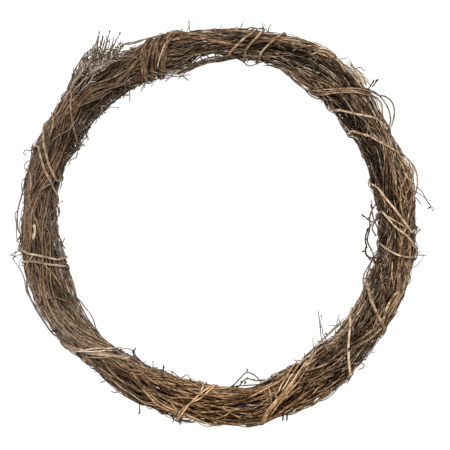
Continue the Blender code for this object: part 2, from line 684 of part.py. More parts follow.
def make_twigs(surface, materials):
    """Twigs that leave the bundle: the brush of twig ends at the upper left, and single ones with buds."""
    rng = np.random.default_rng(SEED + 3)
    for name, (root, tip, shoots) in TWIGS.items():
        tree = surface.tree()
        bearing, clock = np.array([float(root[0])]), np.array([float(root[1])])
        reach = surface.clear(bearing, clock, TWIG_GIRTH, TWIG_GIRTH)
        start = over_bundle(bearing, clock, reach)[0]
        end = world(tip[0], tip[1] * MM, tip[2] * MM)
        outward = start - over_bundle(bearing, clock, 0 * reach)[0]
        outward /= np.linalg.norm(outward)
        share = np.linspace(0, 1, TWIG_BENDS)[:, None]
        length = np.linalg.norm(end - start)
        along = (end - start) / length
        bow = TWIG_BOW * length * np.sin(np.pi * share) * outward
        path = start + share * (end - start) + bow
        girth = TWIG_GIRTH * np.linspace(*TWIG_TAPER, TWIG_BENDS)
        girth[-1] = TWIG_GIRTH * TWIG_TIP
        outward = np.broadcast_to(outward, path.shape)
        section = row_section(1, VINE_SIDES)
        settle(tree, path, outward, section, girth, 0)
        lift_clear(tree, path, outward, section, girth)
        stem = tube(name, path, outward, section, girth)
        branches = []
        for k in range(shoots):
            at = SHOOT_PLACES[0] + (SHOOT_PLACES[1] - SHOOT_PLACES[0]) * (k + 0.5) / shoots
            foot = np.array([np.interp(at, share[:, 0], path[:, axis]) for axis in range(3)])
            side = np.cross(along, (0, 0, 1.0))
            lean = SHOOT_LEAN * (1 if k % 2 else -1) * rng.uniform(*SHOOT_LEAN_SPREAD)
            way = along + lean * side + np.array((0, 0, rng.uniform(-SHOOT_RISE, SHOOT_RISE)))
            way /= np.linalg.norm(way)
            reach = rng.uniform(*SHOOT_LENGTH) * length
            branches.append(shoot_mesh(f"{name}_shoot", foot, way, along, reach, k % 2 == 0))
        twig = fuse(name, stem, free_of(tree, branches), materials["twig_dark"])
        twig.data.name = name
        surface.cover(twig.data)


def make_materials():
    made = {}
    for name, (colour, roughness) in MATERIALS.items():
        material = bpy.data.materials.new(name)
        material.use_nodes = True
        shader = material.node_tree.nodes["Principled BSDF"]
        shader.inputs["Base Color"].default_value = (*colour, 1.0)
        shader.inputs["Roughness"].default_value = roughness
        shader.inputs["Metallic"].default_value = 0.0
        made[name] = material
    return made


def main():
    for obj in list(bpy.data.objects):
        bpy.data.objects.remove(obj, do_unlink=True)
    materials = make_materials()
    surface = Surface()
    make_strands(surface, materials)
    shooting = make_runners(surface, RUNNERS, materials)
    make_binders(surface, materials)
    make_runners(surface, LOOSE_STRANDS, materials)
    make_twigs(surface, materials)
    make_spurs(surface, shooting, materials)


main()
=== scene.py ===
import bpy
import numpy as np
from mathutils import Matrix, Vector


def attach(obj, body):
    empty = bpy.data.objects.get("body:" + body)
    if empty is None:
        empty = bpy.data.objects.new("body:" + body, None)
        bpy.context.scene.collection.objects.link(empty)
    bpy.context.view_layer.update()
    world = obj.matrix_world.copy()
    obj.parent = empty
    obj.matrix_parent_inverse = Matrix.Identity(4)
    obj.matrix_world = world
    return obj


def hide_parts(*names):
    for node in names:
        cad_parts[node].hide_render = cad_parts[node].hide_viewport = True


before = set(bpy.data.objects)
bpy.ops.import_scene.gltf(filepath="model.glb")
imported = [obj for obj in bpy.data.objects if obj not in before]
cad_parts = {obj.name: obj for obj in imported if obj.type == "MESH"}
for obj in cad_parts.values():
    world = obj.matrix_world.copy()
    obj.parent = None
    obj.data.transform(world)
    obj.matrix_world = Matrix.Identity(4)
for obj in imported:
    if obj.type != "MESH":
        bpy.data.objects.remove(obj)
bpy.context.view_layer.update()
mm = 0.001

ring = {
    "middle": (-0.0068, 0.0017),  # of the ring, in the model's frame
    "radius": 0.180,  # of the bundle's middle line, about
    "slices": 42,  # round the ring, where the CAD strands have their points
    "offSlice": 0.01,  # of the way to the next slice, where a point still counts as on this one
    "wholeGirth": 0.75,  # of a strand's usual girth: a slice with less is where its ends meet
    "stations": 720,  # bearings at which the bundle's shape is known
    "windows": {"strand": 25, "middleLine": 61, "halfSize": 31},  # stations that each is smoothed over
    "clockCells": 120,
    "topCells": 480,  # of 1 mm, for the height of the wreath's upper side
    "furthest": 0.045,  # from the bundle's middle line, of what counts as its surface
    "freeLevel": 0.024,  # of a vine where it leaves the bundle
    "floorGap": 0.0008,
    "middleTint": 0.37,
    # Tables by bearing: the bearings in degrees, and the value at each
    "restless": (  # how far the vines wander
        (0, 45, 95, 140, 190, 235, 280, 320, 360),
        (1.2, 1.3, 0.8, 0.7, 0.5, 0.6, 0.9, 1.1, 1.2),
    ),
    "contrast": (  # between pale and dark vines
        (0, 45, 90, 130, 190, 235, 270, 320, 360),
        (1.1, 1.2, 1.0, 0.3, 0.26, 0.65, 1.1, 1.1, 1.1),
    ),
    "crown": (  # painted shade: how much darker the bundle's top is, for the shade in the gaps between its vines
        (0, 45, 80, 94, 110, 140, 175, 235, 270, 320, 360),
        (0.24, 0.34, 0.34, 0.1, 0.2, 0.24, 0.0, 0.0, 0.08, 0.2, 0.24),
    ),
    "lift": (  # of the tint
        (0, 15, 75, 92, 100, 112, 135, 150, 180, 215, 238, 270, 298, 312, 325, 340, 355, 360),
        (0.05, 0.03, 0.04, 0.12, 0.12, 0.07, 0.13, 0.10, 0.14,
         0.22, 0.17, 0.08, 0.115, 0.10, 0.145, 0.165, 0.08, 0.05),
    ),
    "lean": (  # painted light and shade of the tint: paler towards the outer edge and darker towards the inner one, where light falls on the outer side (below 0, the other way round)
        (0, 15, 30, 60, 75, 95, 150, 180, 240, 255, 285, 300, 345, 360),
        (0.06, 0.14, 0.05, 0.1, 0.04, 0.13, 0.11, 0.04, 0.06, -0.06, -0.2, 0.0, 0.03, 0.06),
    ),
    "outward": (  # how much further out than the CAD strands the vines reach, in mm
        (0, 30, 60, 90, 105, 115, 120, 128, 135, 150, 165, 180, 195, 210, 240, 255, 270, 300, 330, 345, 360),
        (-1.0, -6.4, 0.0, -5.8, -6.4, -5.7, -9.0, -8.4, 0.8, -0.4, 0.6,
         -4.0, -2.8, -0.8, 1.2, 7.6, 6.0, 2.0, 0.2, 3.2, -1.0),
    ),
    "inward": (  # and how much further in
        (0, 15, 30, 45, 60, 75, 85, 89, 98, 102, 105, 120, 135, 150, 165, 180,
         195, 210, 240, 255, 270, 274, 277, 285, 289, 296, 308, 318, 330, 345, 360),
        (-0.4, 1.6, 2.8, 2.8, 1.4, 0.6, -0.6, -7.4, -7.4, -1.0, 1.0, -1.4, 3.4, 8.0, 3.2, 0.4,
         3.6, -4.4, -2.0, -2.0, -1.6, -4.4, -6.6, -6.6, -4.0, 1.6, -2.2, -5.6, -0.4, -3.0, -0.4),
    ),
}
picture = {"ringMiddle": (217.8, 222.0)}  # in pixels, each 1 mm at the ring


def atBearing(table, bearing):
    # the table's value at any bearing, on the straight line between its two nearest ones
    return np.interp(bearing % 360, *table)


def placeOnRing(bearing, away, up):
    # a circle round the ring's middle: cosine and sine of the bearing times the distance, and the height
    turn = np.radians(bearing)
    x = ring["middle"][0] + away * np.cos(turn)
    y = ring["middle"][1] + away * np.sin(turn)
    return np.stack(np.broadcast_arrays(x, y, up), axis=-1)


def fromPicture(spots):
    # a pixel's place: its distance from the ring's middle in mm, with y turned upwards
    spots = np.asarray(spots, float)
    x = (spots[..., 0] - picture["ringMiddle"][0]) * mm + ring["middle"][0]
    y = (picture["ringMiddle"][1] - spots[..., 1]) * mm + ring["middle"][1]
    return np.stack((x, y), axis=-1)


def fromRing(points):
    # bearing from the ring's middle, by the arc tangent, and distance from it
    x, y = points[..., 0] - ring["middle"][0], points[..., 1] - ring["middle"][1]
    return np.degrees(np.arctan2(y, x)), np.hypot(x, y)


def smoothRound(values, width):
    # a weighted mean over that many stations round the ring, by a raised cosine
    window = np.hanning(width + 2)[1:-1]
    half = width // 2
    longer = np.concatenate((values[-half:], values, values[:half]))
    flat = longer.reshape(len(longer), -1)
    found = [np.convolve(column, window / window.sum(), "valid") for column in flat.T]
    return np.stack(found, axis=-1).reshape(values.shape)


def sampleRound(table, bearing):
    # the table's value at any bearing, on the straight line between its two stations
    place = np.mod(bearing, 360.0) / 360.0 * len(table)
    lower = np.floor(place).astype(int)
    share = place - lower
    if table.ndim > 1:
        share = share[..., None]
    return table[lower % len(table)] * (1 - share) + table[(lower + 1) % len(table)] * share


def readStrand(node):
    # a CAD strand's points lie on slices of the ring: their mean is its middle, the furthest its girth
    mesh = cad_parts[node].data
    flat = np.empty(3 * len(mesh.vertices), np.float32)
    mesh.vertices.foreach_get("co", flat)
    points = np.unique(np.round(flat.reshape(-1, 3).astype(float), 6), axis=0)
    slices = ring["slices"]
    bearing, away = fromRing(points)
    place = bearing % 360 / 360 * slices
    onSlice = np.abs(place - np.round(place)) < ring["offSlice"]
    index = np.round(place[onSlice]).astype(int) % slices
    section = np.stack((away, points[:, 2]), axis=-1)[onSlice]
    number = np.bincount(index, minlength=slices)
    sums = [np.bincount(index, weights=column, minlength=slices) for column in section.T]
    middle = np.stack(sums, axis=-1) / np.maximum(number, 1)[:, None]
    girth = np.zeros(slices)
    np.maximum.at(girth, index, np.linalg.norm(section - middle[index], axis=1))
    known = np.flatnonzero((number > 2) & (girth > ring["wholeGirth"] * np.median(girth)))
    at = np.arange(ring["stations"]) / ring["stations"] * slices
    stations = np.concatenate((known - slices, known, known + slices))
    rows = np.column_stack((middle, girth))[known]
    rows = np.concatenate((rows, rows, rows))
    table = np.stack([np.interp(at, stations, column) for column in rows.T], axis=-1)
    table = smoothRound(table, ring["windows"]["strand"])
    return table[:, :2], table[:, 2]


outerStrands = [f"outer_strand_{k:02d}" for k in range(1, 13)]
innerStrands = [f"inner_strand_{k:02d}" for k in range(1, 5)]
strandShapes = {node: readStrand(node) for node in outerStrands}
middles = [middle for middle, _ in strandShapes.values()]
middleLine = smoothRound(np.mean(middles, axis=0), ring["windows"]["middleLine"])
sizes = [np.abs(middle - middleLine) + girth[:, None] for middle, girth in strandShapes.values()]
halfSize = smoothRound(np.max(sizes, axis=0), ring["windows"]["halfSize"])
print("bundle read: half size", (halfSize.mean(axis=0) / mm).round(1))


# The wreath's surface so far, for what is laid over it

reachMap = np.zeros((ring["stations"], ring["clockCells"]))
topMap = np.zeros((ring["topCells"], ring["topCells"]))


def cellsOf(bearing, clock):
    # a cell's number is the whole part of the angle's share of a turn, times the number of cells
    whole = ((bearing, ring["stations"]), (clock, ring["clockCells"]))
    return [np.floor(np.mod(angle, 360.0) / 360.0 * cells).astype(int) % cells for angle, cells in whole]


def topCells(x, y):
    # one cell to each mm, with the origin in the middle
    cells = ring["topCells"]
    return [np.clip(np.floor(value / mm + cells / 2).astype(int), 0, cells - 1) for value in (x, y)]


def fromBundle(points):
    # bearing, and how far out and how far up from the bundle's middle line there
    bearing, far = fromRing(points)
    line = sampleRound(middleLine, bearing)
    return bearing, far - line[..., 0], points[..., 2] - line[..., 1]


def cover(paths, radii, steps=6):
    # marks, at close steps along each path, how far out of the bundle it reaches and how high it stands
    share = (np.arange(steps) / steps)[None, None, :, None]
    points = (paths[:, :-1, None] * (1 - share) + paths[:, 1:, None] * share).reshape(-1, 3)
    radius = np.repeat(radii[:, :-1], steps, axis=1).reshape(-1)
    bearing, out, up = fromBundle(points)
    reach = np.hypot(out, up)
    near = reach < ring["furthest"]
    row, column = cellsOf(bearing, np.degrees(np.arctan2(up, out)))
    np.maximum.at(reachMap, (row[near], column[near]), (reach + radius)[near])
    aslant = 0.7  # of the radius: as far aside as it is high
    for i, j, high in ((0, 0, 1.0), (1, 0, aslant), (-1, 0, aslant), (0, 1, aslant), (0, -1, aslant)):
        row, column = topCells(points[:, 0] + i * radius * aslant, points[:, 1] + j * radius * aslant)
        np.maximum.at(topMap, (row, column), points[:, 2] + radius * high)


def widened(table):
    # the greatest value within a cell each way, round both ways
    for axis in (0, 1):
        table = np.max((np.roll(table, -1, axis), table, np.roll(table, 1, axis)), axis=0)
    return table


def smoothAlong(values, width, greatest=0):
    # along each path: the greatest value within so many points, then a weighted mean over width points
    if greatest:
        longer = np.pad(values, ((0, 0), (greatest, greatest)), mode="edge")
        count = values.shape[1]
        values = np.max([longer[:, k : k + count] for k in range(2 * greatest + 1)], axis=0)
    window = np.hanning(width + 2)[1:-1]
    longer = np.pad(values, ((0, 0), (width // 2, width // 2)), mode="edge")
    return np.stack([np.convolve(row, window / window.sum(), "valid") for row in longer])


def overBundle(bearing, clock, reach):
    # from the bundle's middle at that bearing, so far out at that clock angle
    line = sampleRound(middleLine, bearing)
    turn = np.radians(clock)
    return placeOnRing(bearing, line[..., 0] + reach * np.cos(turn), line[..., 1] + reach * np.sin(turn))


def layOver(bearing, clock, radius, lift=0.0, width=7, greatest=1, surface=reachMap):
    # paths over the wreath so far: the surface's reach under each point, smoothed along the path
    surface = widened(surface)
    row, column = cellsOf(bearing, clock)
    reach = smoothAlong(surface[row, column], width, greatest)
    return overBundle(bearing, clock, reach + radius + lift)


# Vines: tubes carried along paths, many in one mesh

tubeShape = {
    "across": (0.31, 0.22, 0.93),  # a direction that no vine runs in, to start each tube's rings from
    "tip": 1.2,  # radii from the last ring to the point that closes it
    "grainApart": 500,  # so that no two vines have the same grain
}
budShape = {"profile": (0.55, 0.95, 1.0, 0.7, 0.25), "sides": 5}


def alongPaths(paths):
    # how far along its path each point is, in mm: the sum of the steps before it
    step = np.linalg.norm(np.diff(paths, axis=1), axis=2) / mm
    return np.concatenate((np.zeros((len(paths), 1)), np.cumsum(step, axis=1)), axis=1)


def tubes(rng, paths, radii, sides, tint):
    # rings about each path: cosine and sine of even angles along two directions square to it, times the
    # radius; a ring's first direction is the last ring's, made square to the path again; points at both ends
    count, stations = paths.shape[:2]
    along = np.gradient(paths, axis=1)
    along /= np.linalg.norm(along, axis=2, keepdims=True) + 1e-12
    side = np.cross(along[:, 0], tubeShape["across"])
    first = np.empty_like(paths)
    for k in range(stations):
        side = side - (side * along[:, k]).sum(axis=1, keepdims=True) * along[:, k]
        side /= np.linalg.norm(side, axis=1, keepdims=True) + 1e-12
        first[:, k] = side
    second = np.cross(along, first)
    angle = 2 * np.pi * np.arange(sides) / sides
    cosine, sine = np.cos(angle)[:, None], np.sin(angle)[:, None]
    around = cosine * first[:, :, None] + sine * second[:, :, None]
    skin = paths[:, :, None] + radii[:, :, None, None] * around
    start = paths[:, 0] - along[:, 0] * radii[:, :1] * tubeShape["tip"]
    end = paths[:, -1] + along[:, -1] * radii[:, -1:] * tubeShape["tip"]
    points = np.concatenate((skin.reshape(count, -1, 3), start[:, None], end[:, None]), axis=1)

    shift = rng.uniform(0, tubeShape["grainApart"], (count, 1, 3))
    grain = np.empty((count, stations, sides, 3))
    grain[..., 0] = np.cos(angle) * radii[:, :, None] / mm
    grain[..., 1] = np.sin(angle) * radii[:, :, None] / mm
    grain[..., 2] = alongPaths(paths)[:, :, None]
    grain = grain.reshape(count, -1, 3)
    grain = np.concatenate((grain, grain[:, :1], grain[:, -1:]), axis=1) + shift
    tints = np.asarray(tint, float)
    tints = np.broadcast_to(tints[:, None] if tints.ndim == 1 else tints, (count, stations))
    tints = np.concatenate((np.repeat(tints, sides, axis=1), tints[:, :1], tints[:, -1:]), axis=1)

    base = (np.arange(count) * points.shape[1])[:, None, None]
    here = np.arange((stations - 1) * sides)
    beside = here - here % sides + (here + 1) % sides
    quads = np.stack((here, beside, beside + sides, here + sides), axis=-1)[None] + base
    low, high, final = here[:sides], beside[:sides], len(here)
    startFan = np.stack((high, low, np.full(sides, stations * sides)), axis=-1)
    endFan = np.stack((final + low, final + high, np.full(sides, stations * sides + 1)), axis=-1)
    fans = np.concatenate((startFan, endFan))[None] + base
    return {
        "points": points.reshape(-1, 3),
        "quads": quads.reshape(-1, 4),
        "fans": fans.reshape(-1, 3),
        "grain": grain.reshape(-1, 3),
        "tint": tints.reshape(-1),
    }


def addObject(name, data):
    made = bpy.data.objects.new(name, data)
    bpy.context.scene.collection.objects.link(made)
    return made


def addPiece(name, parts, bark, nodes=()):
    # one mesh of all the parts, given its points, faces and attributes as whole arrays
    def joined(key):
        return np.concatenate([part[key] for part in parts])

    offsets = np.cumsum([0] + [len(part["points"]) for part in parts])
    points = joined("points")
    quads = np.concatenate([part["quads"] + start for part, start in zip(parts, offsets)])
    fans = np.concatenate([part["fans"] + start for part, start in zip(parts, offsets)])
    mesh = bpy.data.meshes.new(name)
    mesh.vertices.add(len(points))
    mesh.vertices.foreach_set("co", points.astype(np.float32).ravel())
    corners = np.concatenate((quads.ravel(), fans.ravel()))
    mesh.loops.add(len(corners))
    mesh.loops.foreach_set("vertex_index", corners.astype(np.int32))
    mesh.polygons.add(len(quads) + len(fans))
    starts = np.concatenate((np.arange(len(quads)) * 4, len(quads) * 4 + np.arange(len(fans)) * 3))
    mesh.polygons.foreach_set("loop_start", starts.astype(np.int32))
    grain = mesh.attributes.new("grain", "FLOAT_VECTOR", "POINT")
    grain.data.foreach_set("vector", joined("grain").astype(np.float32).ravel())
    tint = mesh.attributes.new("vineTint", "FLOAT", "POINT")
    tint.data.foreach_set("value", joined("tint").astype(np.float32))
    mesh.update(calc_edges=True)
    mesh.shade_smooth()
    mesh.materials.append(materials[bark])
    piece = addObject(name, mesh)
    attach(piece, "root")
    if nodes:
        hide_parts(*nodes)


def drift(rng, bearing, turns, size):
    # sines round the ring, each with a phase of its own for each vine
    total = np.zeros_like(bearing)
    for turn in turns:
        total += np.sin(turn * np.radians(bearing) + rng.uniform(0, 2 * np.pi, (len(bearing), 1)))
    return size * total / np.sqrt(len(turns))


def tapered(stations, ends, start=0.4, finish=0.4):
    # 1 along the middle, easing to the given shares over a part of the length at each end
    share = np.linspace(0, 1, stations)
    rise = np.clip(share / ends, 0, 1)
    fall = np.clip((1 - share) / ends, 0, 1)
    return (start + (1 - start) * rise) * (finish + (1 - finish) * fall)


def girthAlong(rng, look, radius, at):
    # the radius, eased at both ends, times 1 and a little drift
    return radius * tapered(at.shape[1], look["taper"]) * (1 + drift(rng, at, *look["lumps"]))


def makeBuds(rng, roots, ways, length, girth, tint):
    # a bud: a short spindle from its root, round in its middle and pointed at its tip
    profile = np.array(budShape["profile"])
    share = np.linspace(0, 1, len(profile))
    paths = roots[:, None] + ways[:, None] * (length[:, None] * share)[..., None]
    return tubes(rng, paths, girth[:, None] * profile, budShape["sides"], tint)


# Materials

barks = {  # ramp: the place by tint, and the colour there
    "barkBrown": {
        "slot": "bark_brown",
        "ramp": (
            (0.0, 0.008, 0.0035, 0.0014), (0.2, 0.03, 0.0155, 0.0072), (0.45, 0.082, 0.047, 0.024),
            (0.7, 0.18, 0.114, 0.066), (1.0, 0.4, 0.285, 0.185),
        ),
        "roughness": (0.6, 0.9),
        "bump": 0.6,
    },
    "barkGrey": {
        "slot": "bark_grey",
        "ramp": (
            (0.0, 0.007, 0.0045, 0.0025), (0.2, 0.028, 0.0185, 0.0115), (0.45, 0.076, 0.053, 0.035),
            (0.7, 0.165, 0.122, 0.084), (1.0, 0.38, 0.3, 0.215),
        ),
        "roughness": (0.6, 0.9),
        "bump": 0.6,
    },
    "barkTan": {
        "slot": "bark_tan",
        "ramp": (
            (0.0, 0.018, 0.008, 0.0035), (0.25, 0.062, 0.032, 0.015), (0.5, 0.138, 0.08, 0.042),
            (0.75, 0.265, 0.17, 0.098), (1.0, 0.46, 0.335, 0.22),
        ),
        "roughness": (0.55, 0.85),
        "bump": 0.5,
    },
    "binderTan": {
        "slot": "binder_tan",
        "ramp": (
            (0.0, 0.04, 0.02, 0.009), (0.3, 0.12, 0.071, 0.038), (0.6, 0.255, 0.168, 0.102),
            (1.0, 0.58, 0.44, 0.315),
        ),
        "roughness": (0.5, 0.8),
        "bump": 0.4,
    },
    "twigDark": {
        "slot": "twig_dark",
        "ramp": (
            (0.0, 0.012, 0.008, 0.005), (0.3, 0.045, 0.03, 0.019), (0.65, 0.13, 0.092, 0.06),
            (1.0, 0.33, 0.255, 0.185),
        ),
        "roughness": (0.6, 0.9),
        "bump": 0.4,
    },
}
barkGrain = {  # noises along the vine, in mm
    "streaks": (1.1, (1.0, 1.0, 0.07), 5.0),  # scale, stretch, detail
    "patches": (0.2, (1.0, 1.0, 1.0), 4.0),
    "scars": (0.5, (0.15, 0.15, 1.0), 2.0),
    "roughness": 0.6,  # of the noises
    "range": (0.3, 0.7),  # that the streaks and patches fill
    "streakTint": (-0.22, 0.22),
    "patchTint": (-0.36, 0.36),
    "scarRange": (0.62, 0.74),
    "scarTint": (0.0, 0.22),  # taken away
    "scarHeight": 0.6,  # of the streaks' height
    "bumpDistance": 0.0006,
    "gloss": 0.1,
}
barkSides = (  # where the bark's colour changes: along which axis, from where to where, and by which colour
    ("Y", (-0.13, -0.175), (1.06, 0.93, 0.74, 1)),
    ("X", (-0.04, -0.13), (1.0, 1.055, 1.16, 1)),
)
evenness = {"fromTo": (-0.04, -0.13), "mottling": (1.0, 0.62)}  # how much of the mottling is left, along X


def newMaterial(name):
    material = bpy.data.materials.new(name)
    material.use_nodes = True
    tree = material.node_tree
    return material, tree, tree.nodes["Principled BSDF"]


def makeBark(name, look):
    # the vine's tint plus streaks and patches, less the scars, picks the colour; the streaks pick the
    # roughness, and they and the scars raise the bump
    material, tree, shader = newMaterial(name)
    nodes, links = tree.nodes, tree.links
    grain = nodes.new("ShaderNodeAttribute")
    grain.attribute_name = "grain"
    tint = nodes.new("ShaderNodeAttribute")
    tint.attribute_name = "vineTint"

    def noise(scale, stretch, detail):
        mapping = nodes.new("ShaderNodeMapping")
        mapping.inputs["Scale"].default_value = stretch
        links.new(grain.outputs["Vector"], mapping.inputs["Vector"])
        texture = nodes.new("ShaderNodeTexNoise")
        for key, value in (("Scale", scale), ("Detail", detail), ("Roughness", barkGrain["roughness"])):
            texture.inputs[key].default_value = value
        links.new(mapping.outputs["Vector"], texture.inputs["Vector"])
        return texture.outputs["Fac"]

    def ranged(source, low, high, toLow, toHigh):
        ranging = nodes.new("ShaderNodeMapRange")
        for key, value in (("From Min", low), ("From Max", high), ("To Min", toLow), ("To Max", toHigh)):
            ranging.inputs[key].default_value = value
        links.new(source, ranging.inputs["Value"])
        return ranging.outputs["Result"]

    def maths(operation, first, second):
        node = nodes.new("ShaderNodeMath")
        node.operation = operation
        for k, value in enumerate((first, second)):
            if isinstance(value, (int, float)):
                node.inputs[k].default_value = value
            else:
                links.new(value, node.inputs[k])
        return node.outputs["Value"]

    streaks, patches, scars = (noise(*barkGrain[kind]) for kind in ("streaks", "patches", "scars"))
    spot = nodes.new("ShaderNodeTexCoord")
    parted = nodes.new("ShaderNodeSeparateXYZ")
    links.new(spot.outputs["Object"], parted.inputs["Vector"])
    streakTint = ranged(streaks, *barkGrain["range"], *barkGrain["streakTint"])
    patchTint = ranged(patches, *barkGrain["range"], *barkGrain["patchTint"])
    even = ranged(parted.outputs["X"], *evenness["fromTo"], *evenness["mottling"])
    mottle = maths("MULTIPLY", maths("ADD", streakTint, patchTint), even)
    place = maths("ADD", tint.outputs["Fac"], mottle)
    place = maths("SUBTRACT", place, ranged(scars, *barkGrain["scarRange"], *barkGrain["scarTint"]))

    ramp = look["ramp"]
    colours = nodes.new("ShaderNodeValToRGB")
    elements = colours.color_ramp.elements
    for element, (position, *colour) in zip(elements, (ramp[0], ramp[-1])):
        element.position, element.color = position, (*colour, 1)
    for position, *colour in ramp[1:-1]:
        elements.new(position).color = (*colour, 1)
    links.new(place, colours.inputs["Fac"])
    colour = colours.outputs["Color"]
    for axis, fromTo, shade in barkSides:
        toned = nodes.new("ShaderNodeMix")
        toned.data_type, toned.blend_type = "RGBA", "MULTIPLY"
        toned.inputs["B"].default_value = shade
        links.new(ranged(parted.outputs[axis], *fromTo, 0.0, 1.0), toned.inputs["Factor"])
        links.new(colour, toned.inputs["A"])
        colour = toned.outputs["Result"]
    links.new(colour, shader.inputs["Base Color"])
    rough = ranged(streaks, *barkGrain["range"], *reversed(look["roughness"]))
    links.new(rough, shader.inputs["Roughness"])

    bumps = nodes.new("ShaderNodeBump")
    bumps.inputs["Strength"].default_value = look["bump"]
    bumps.inputs["Distance"].default_value = barkGrain["bumpDistance"]
    height = maths("ADD", streaks, maths("MULTIPLY", scars, barkGrain["scarHeight"]))
    links.new(height, bumps.inputs["Height"])
    links.new(bumps.outputs["Normal"], shader.inputs["Normal"])
    shader.inputs["Specular IOR Level"].default_value = barkGrain["gloss"]
    return material


materials = {name: makeBark(name, look) for name, look in barks.items()}
coreBark = {
    "scale": 260.0,
    "detail": 4.0,
    "roughness": 0.9,
    "colours": ((0.020, 0.014, 0.010), (0.090, 0.062, 0.042)),
}


def makeCoreBark():
    # the hidden core strands: dark bark in fine patches
    material, tree, shader = newMaterial("barkCore")
    nodes, links = tree.nodes, tree.links
    place = nodes.new("ShaderNodeTexCoord")
    texture = nodes.new("ShaderNodeTexNoise")
    texture.inputs["Scale"].default_value = coreBark["scale"]
    texture.inputs["Detail"].default_value = coreBark["detail"]
    links.new(place.outputs["Object"], texture.inputs["Vector"])
    colours = nodes.new("ShaderNodeValToRGB")
    for element, colour in zip(colours.color_ramp.elements, coreBark["colours"]):
        element.color = (*colour, 1)
    links.new(texture.outputs["Fac"], colours.inputs["Fac"])
    links.new(colours.outputs["Color"], shader.inputs["Base Color"])
    shader.inputs["Roughness"].default_value = coreBark["roughness"]
    for node in innerStrands:
        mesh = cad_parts[node].data
        mesh.materials.clear()
        mesh.materials.append(material)
        mesh.update()


makeCoreBark()


# The strands: many thin vines twisted together along each CAD strand

strandVines = {
    "stout": {
        "count": 9,
        "span": (40.0, 130.0),  # degrees of bearing
        "stations": 90,
        "radius": (0.75, 1.25),
        "spread": 1.1,
        "sides": 5,
        "twist": 5.0,
        "waves": (5, 9, 16),  # turns round the ring of its angle and reach
        "turning": 1.0,
        "wander": 0.24,
        "tint": (1.6, 2.2),  # of the beta law
    },
    "fine": {
        "count": 104, "span": (9.0, 48.0), "stations": 36, "radius": (0.35, 0.95), "spread": 1.5, "sides": 4,
        "twist": 18.0, "waves": (9, 17, 30), "turning": 1.1, "wander": 0.34, "tint": (1.2, 1.7),
    },
    "thickness": (1.2, 2.0),  # the beta law of how radii lie between their limits
    "reach": (0.25, 1.0),  # share of the strand's girth that a vine stands out from its middle
    "furthest": 1.1,
    "edge": 0.3,  # of its radius, that a vine stays within the girth
    "waver": ((23, 41, 67), 0.45),  # turns round the ring, and size in mm
    "held": (0.88, 1.04),  # share of the bundle's oval that holds a vine
    "taper": 0.08,
    "lumps": ((9, 23, 41), 0.08),
    "knots": {"every": 17.0, "uneven": (0.6, 1.5), "swell": 0.3, "power": 6},  # mm along a vine
    "buriedShade": ((0.55, 0.95), (0.04, 1.0)),  # painted shade deep in the bundle: how far out a vine lies, and the share of its tint left there
    "crownShadePower": 4,
    "seed": 11,
}
shadePatches = (  # painted shade of hollows in the bundle, at places in the picture: x, y, half length, half width in mm, how much darker (below 0, paler)
    (37, 246, 8, 8, 0.4), (62, 294, 12, 5, 0.4), (48, 282, 12, 4, 0.3), (124, 373, 16, 5, 0.5),
    (164, 391, 8, 5, 0.5), (150, 384, 10, 4, 0.3), (89, 104, 12, 7, 0.4), (72, 138, 12, 8, 0.45),
    (38, 184, 12, 5, 0.3), (110, 76, 8, 5, 0.35), (144, 56, 6, 10, 0.3), (186, 40, 12, 4, 0.3),
    (348, 82, 14, 4.5, 1.3), (343, 105, 8, 6, 1.2), (354, 124, 9, 7, 1.0), (375, 165, 18, 6, 1.0),
    (388, 196, 10, 5, 0.9), (254, 46, 12, 5, 0.9), (369, 110, 8, 4, 0.9), (382, 240, 12, 4, 0.8),
    (374, 277, 9, 6, 0.45), (375, 309, 9, 4, 0.5), (354, 341, 9, 6, 0.4), (323, 356, 12, 5, 0.35),
    (314, 396, 10, 5, 0.35), (277, 404, 14, 4, 0.45), (251, 404, 10, 4, 0.35), (300, 62, 8, 6, 0.35),
    (243, 398, 13, 4.5, 0.6), (160, 70, 8, 4, 0.4),
    (232, 412, 12, 4, 0.3), (98, 356, 10, 4, 0.3), (300, 55, 16, 3, -0.25), (403, 186, 16, 6, -0.25),
    (395, 290, 14, 6, -0.2), (286, 378, 10, 8, -0.25), (60, 320, 20, 6, -0.15), (355, 72, 10, 4, -0.3),
)


def knotted(rng, paths):
    # girth along each path: 1, with a raised cosine to a high power at every knot
    knots = strandVines["knots"]
    every = knots["every"] * rng.uniform(*knots["uneven"], (len(paths), 1))
    phase = rng.uniform(0, np.pi, (len(paths), 1)) + np.pi * alongPaths(paths) / every
    return 1 + knots["swell"] * np.cos(phase) ** knots["power"]


def shaded(tint, paths):
    # the middle tint, the bearing's lift and lean (painted light and shade on the bundle's sides), and the
    # tint's distance from the middle times contrast;
    # along the bundle's top, painted shade: times 1 less a share of a high power of how far up it lies;
    # in each patch of painted shade, times 1 less its depth on a bell curve (below 0, paler)
    bearing, far = fromRing(paths)
    _, out, up = fromBundle(paths)
    away = np.hypot(out, up) + 1e-9
    tables = [ring[kind] for kind in ("contrast", "crown", "lift", "lean")]
    contrast, crown, lift, lean = (atBearing(table, bearing) for table in tables)
    # the lean is painted light and shade: paler on one side of the bundle, darker on the other
    tint = ring["middleTint"] + (tint - ring["middleTint"]) * contrast + lift + lean * out / away
    # painted shade along the bundle's top
    tint = tint * (1 - crown * np.clip(up / away, 0, 1) ** strandVines["crownShadePower"])
    # painted shade in each patch, paler where its depth is below 0
    for x, y, long, wide, depth in shadePatches:
        spotBearing, spotFar = fromRing(fromPicture((x, y)))
        turn = (bearing - spotBearing + 180) % 360 - 180
        along = np.radians(turn) * far / (long * mm)
        across = (far - spotFar) / (wide * mm)
        tint = tint * (1 - depth * np.exp(-(along**2) - across**2))
    return tint


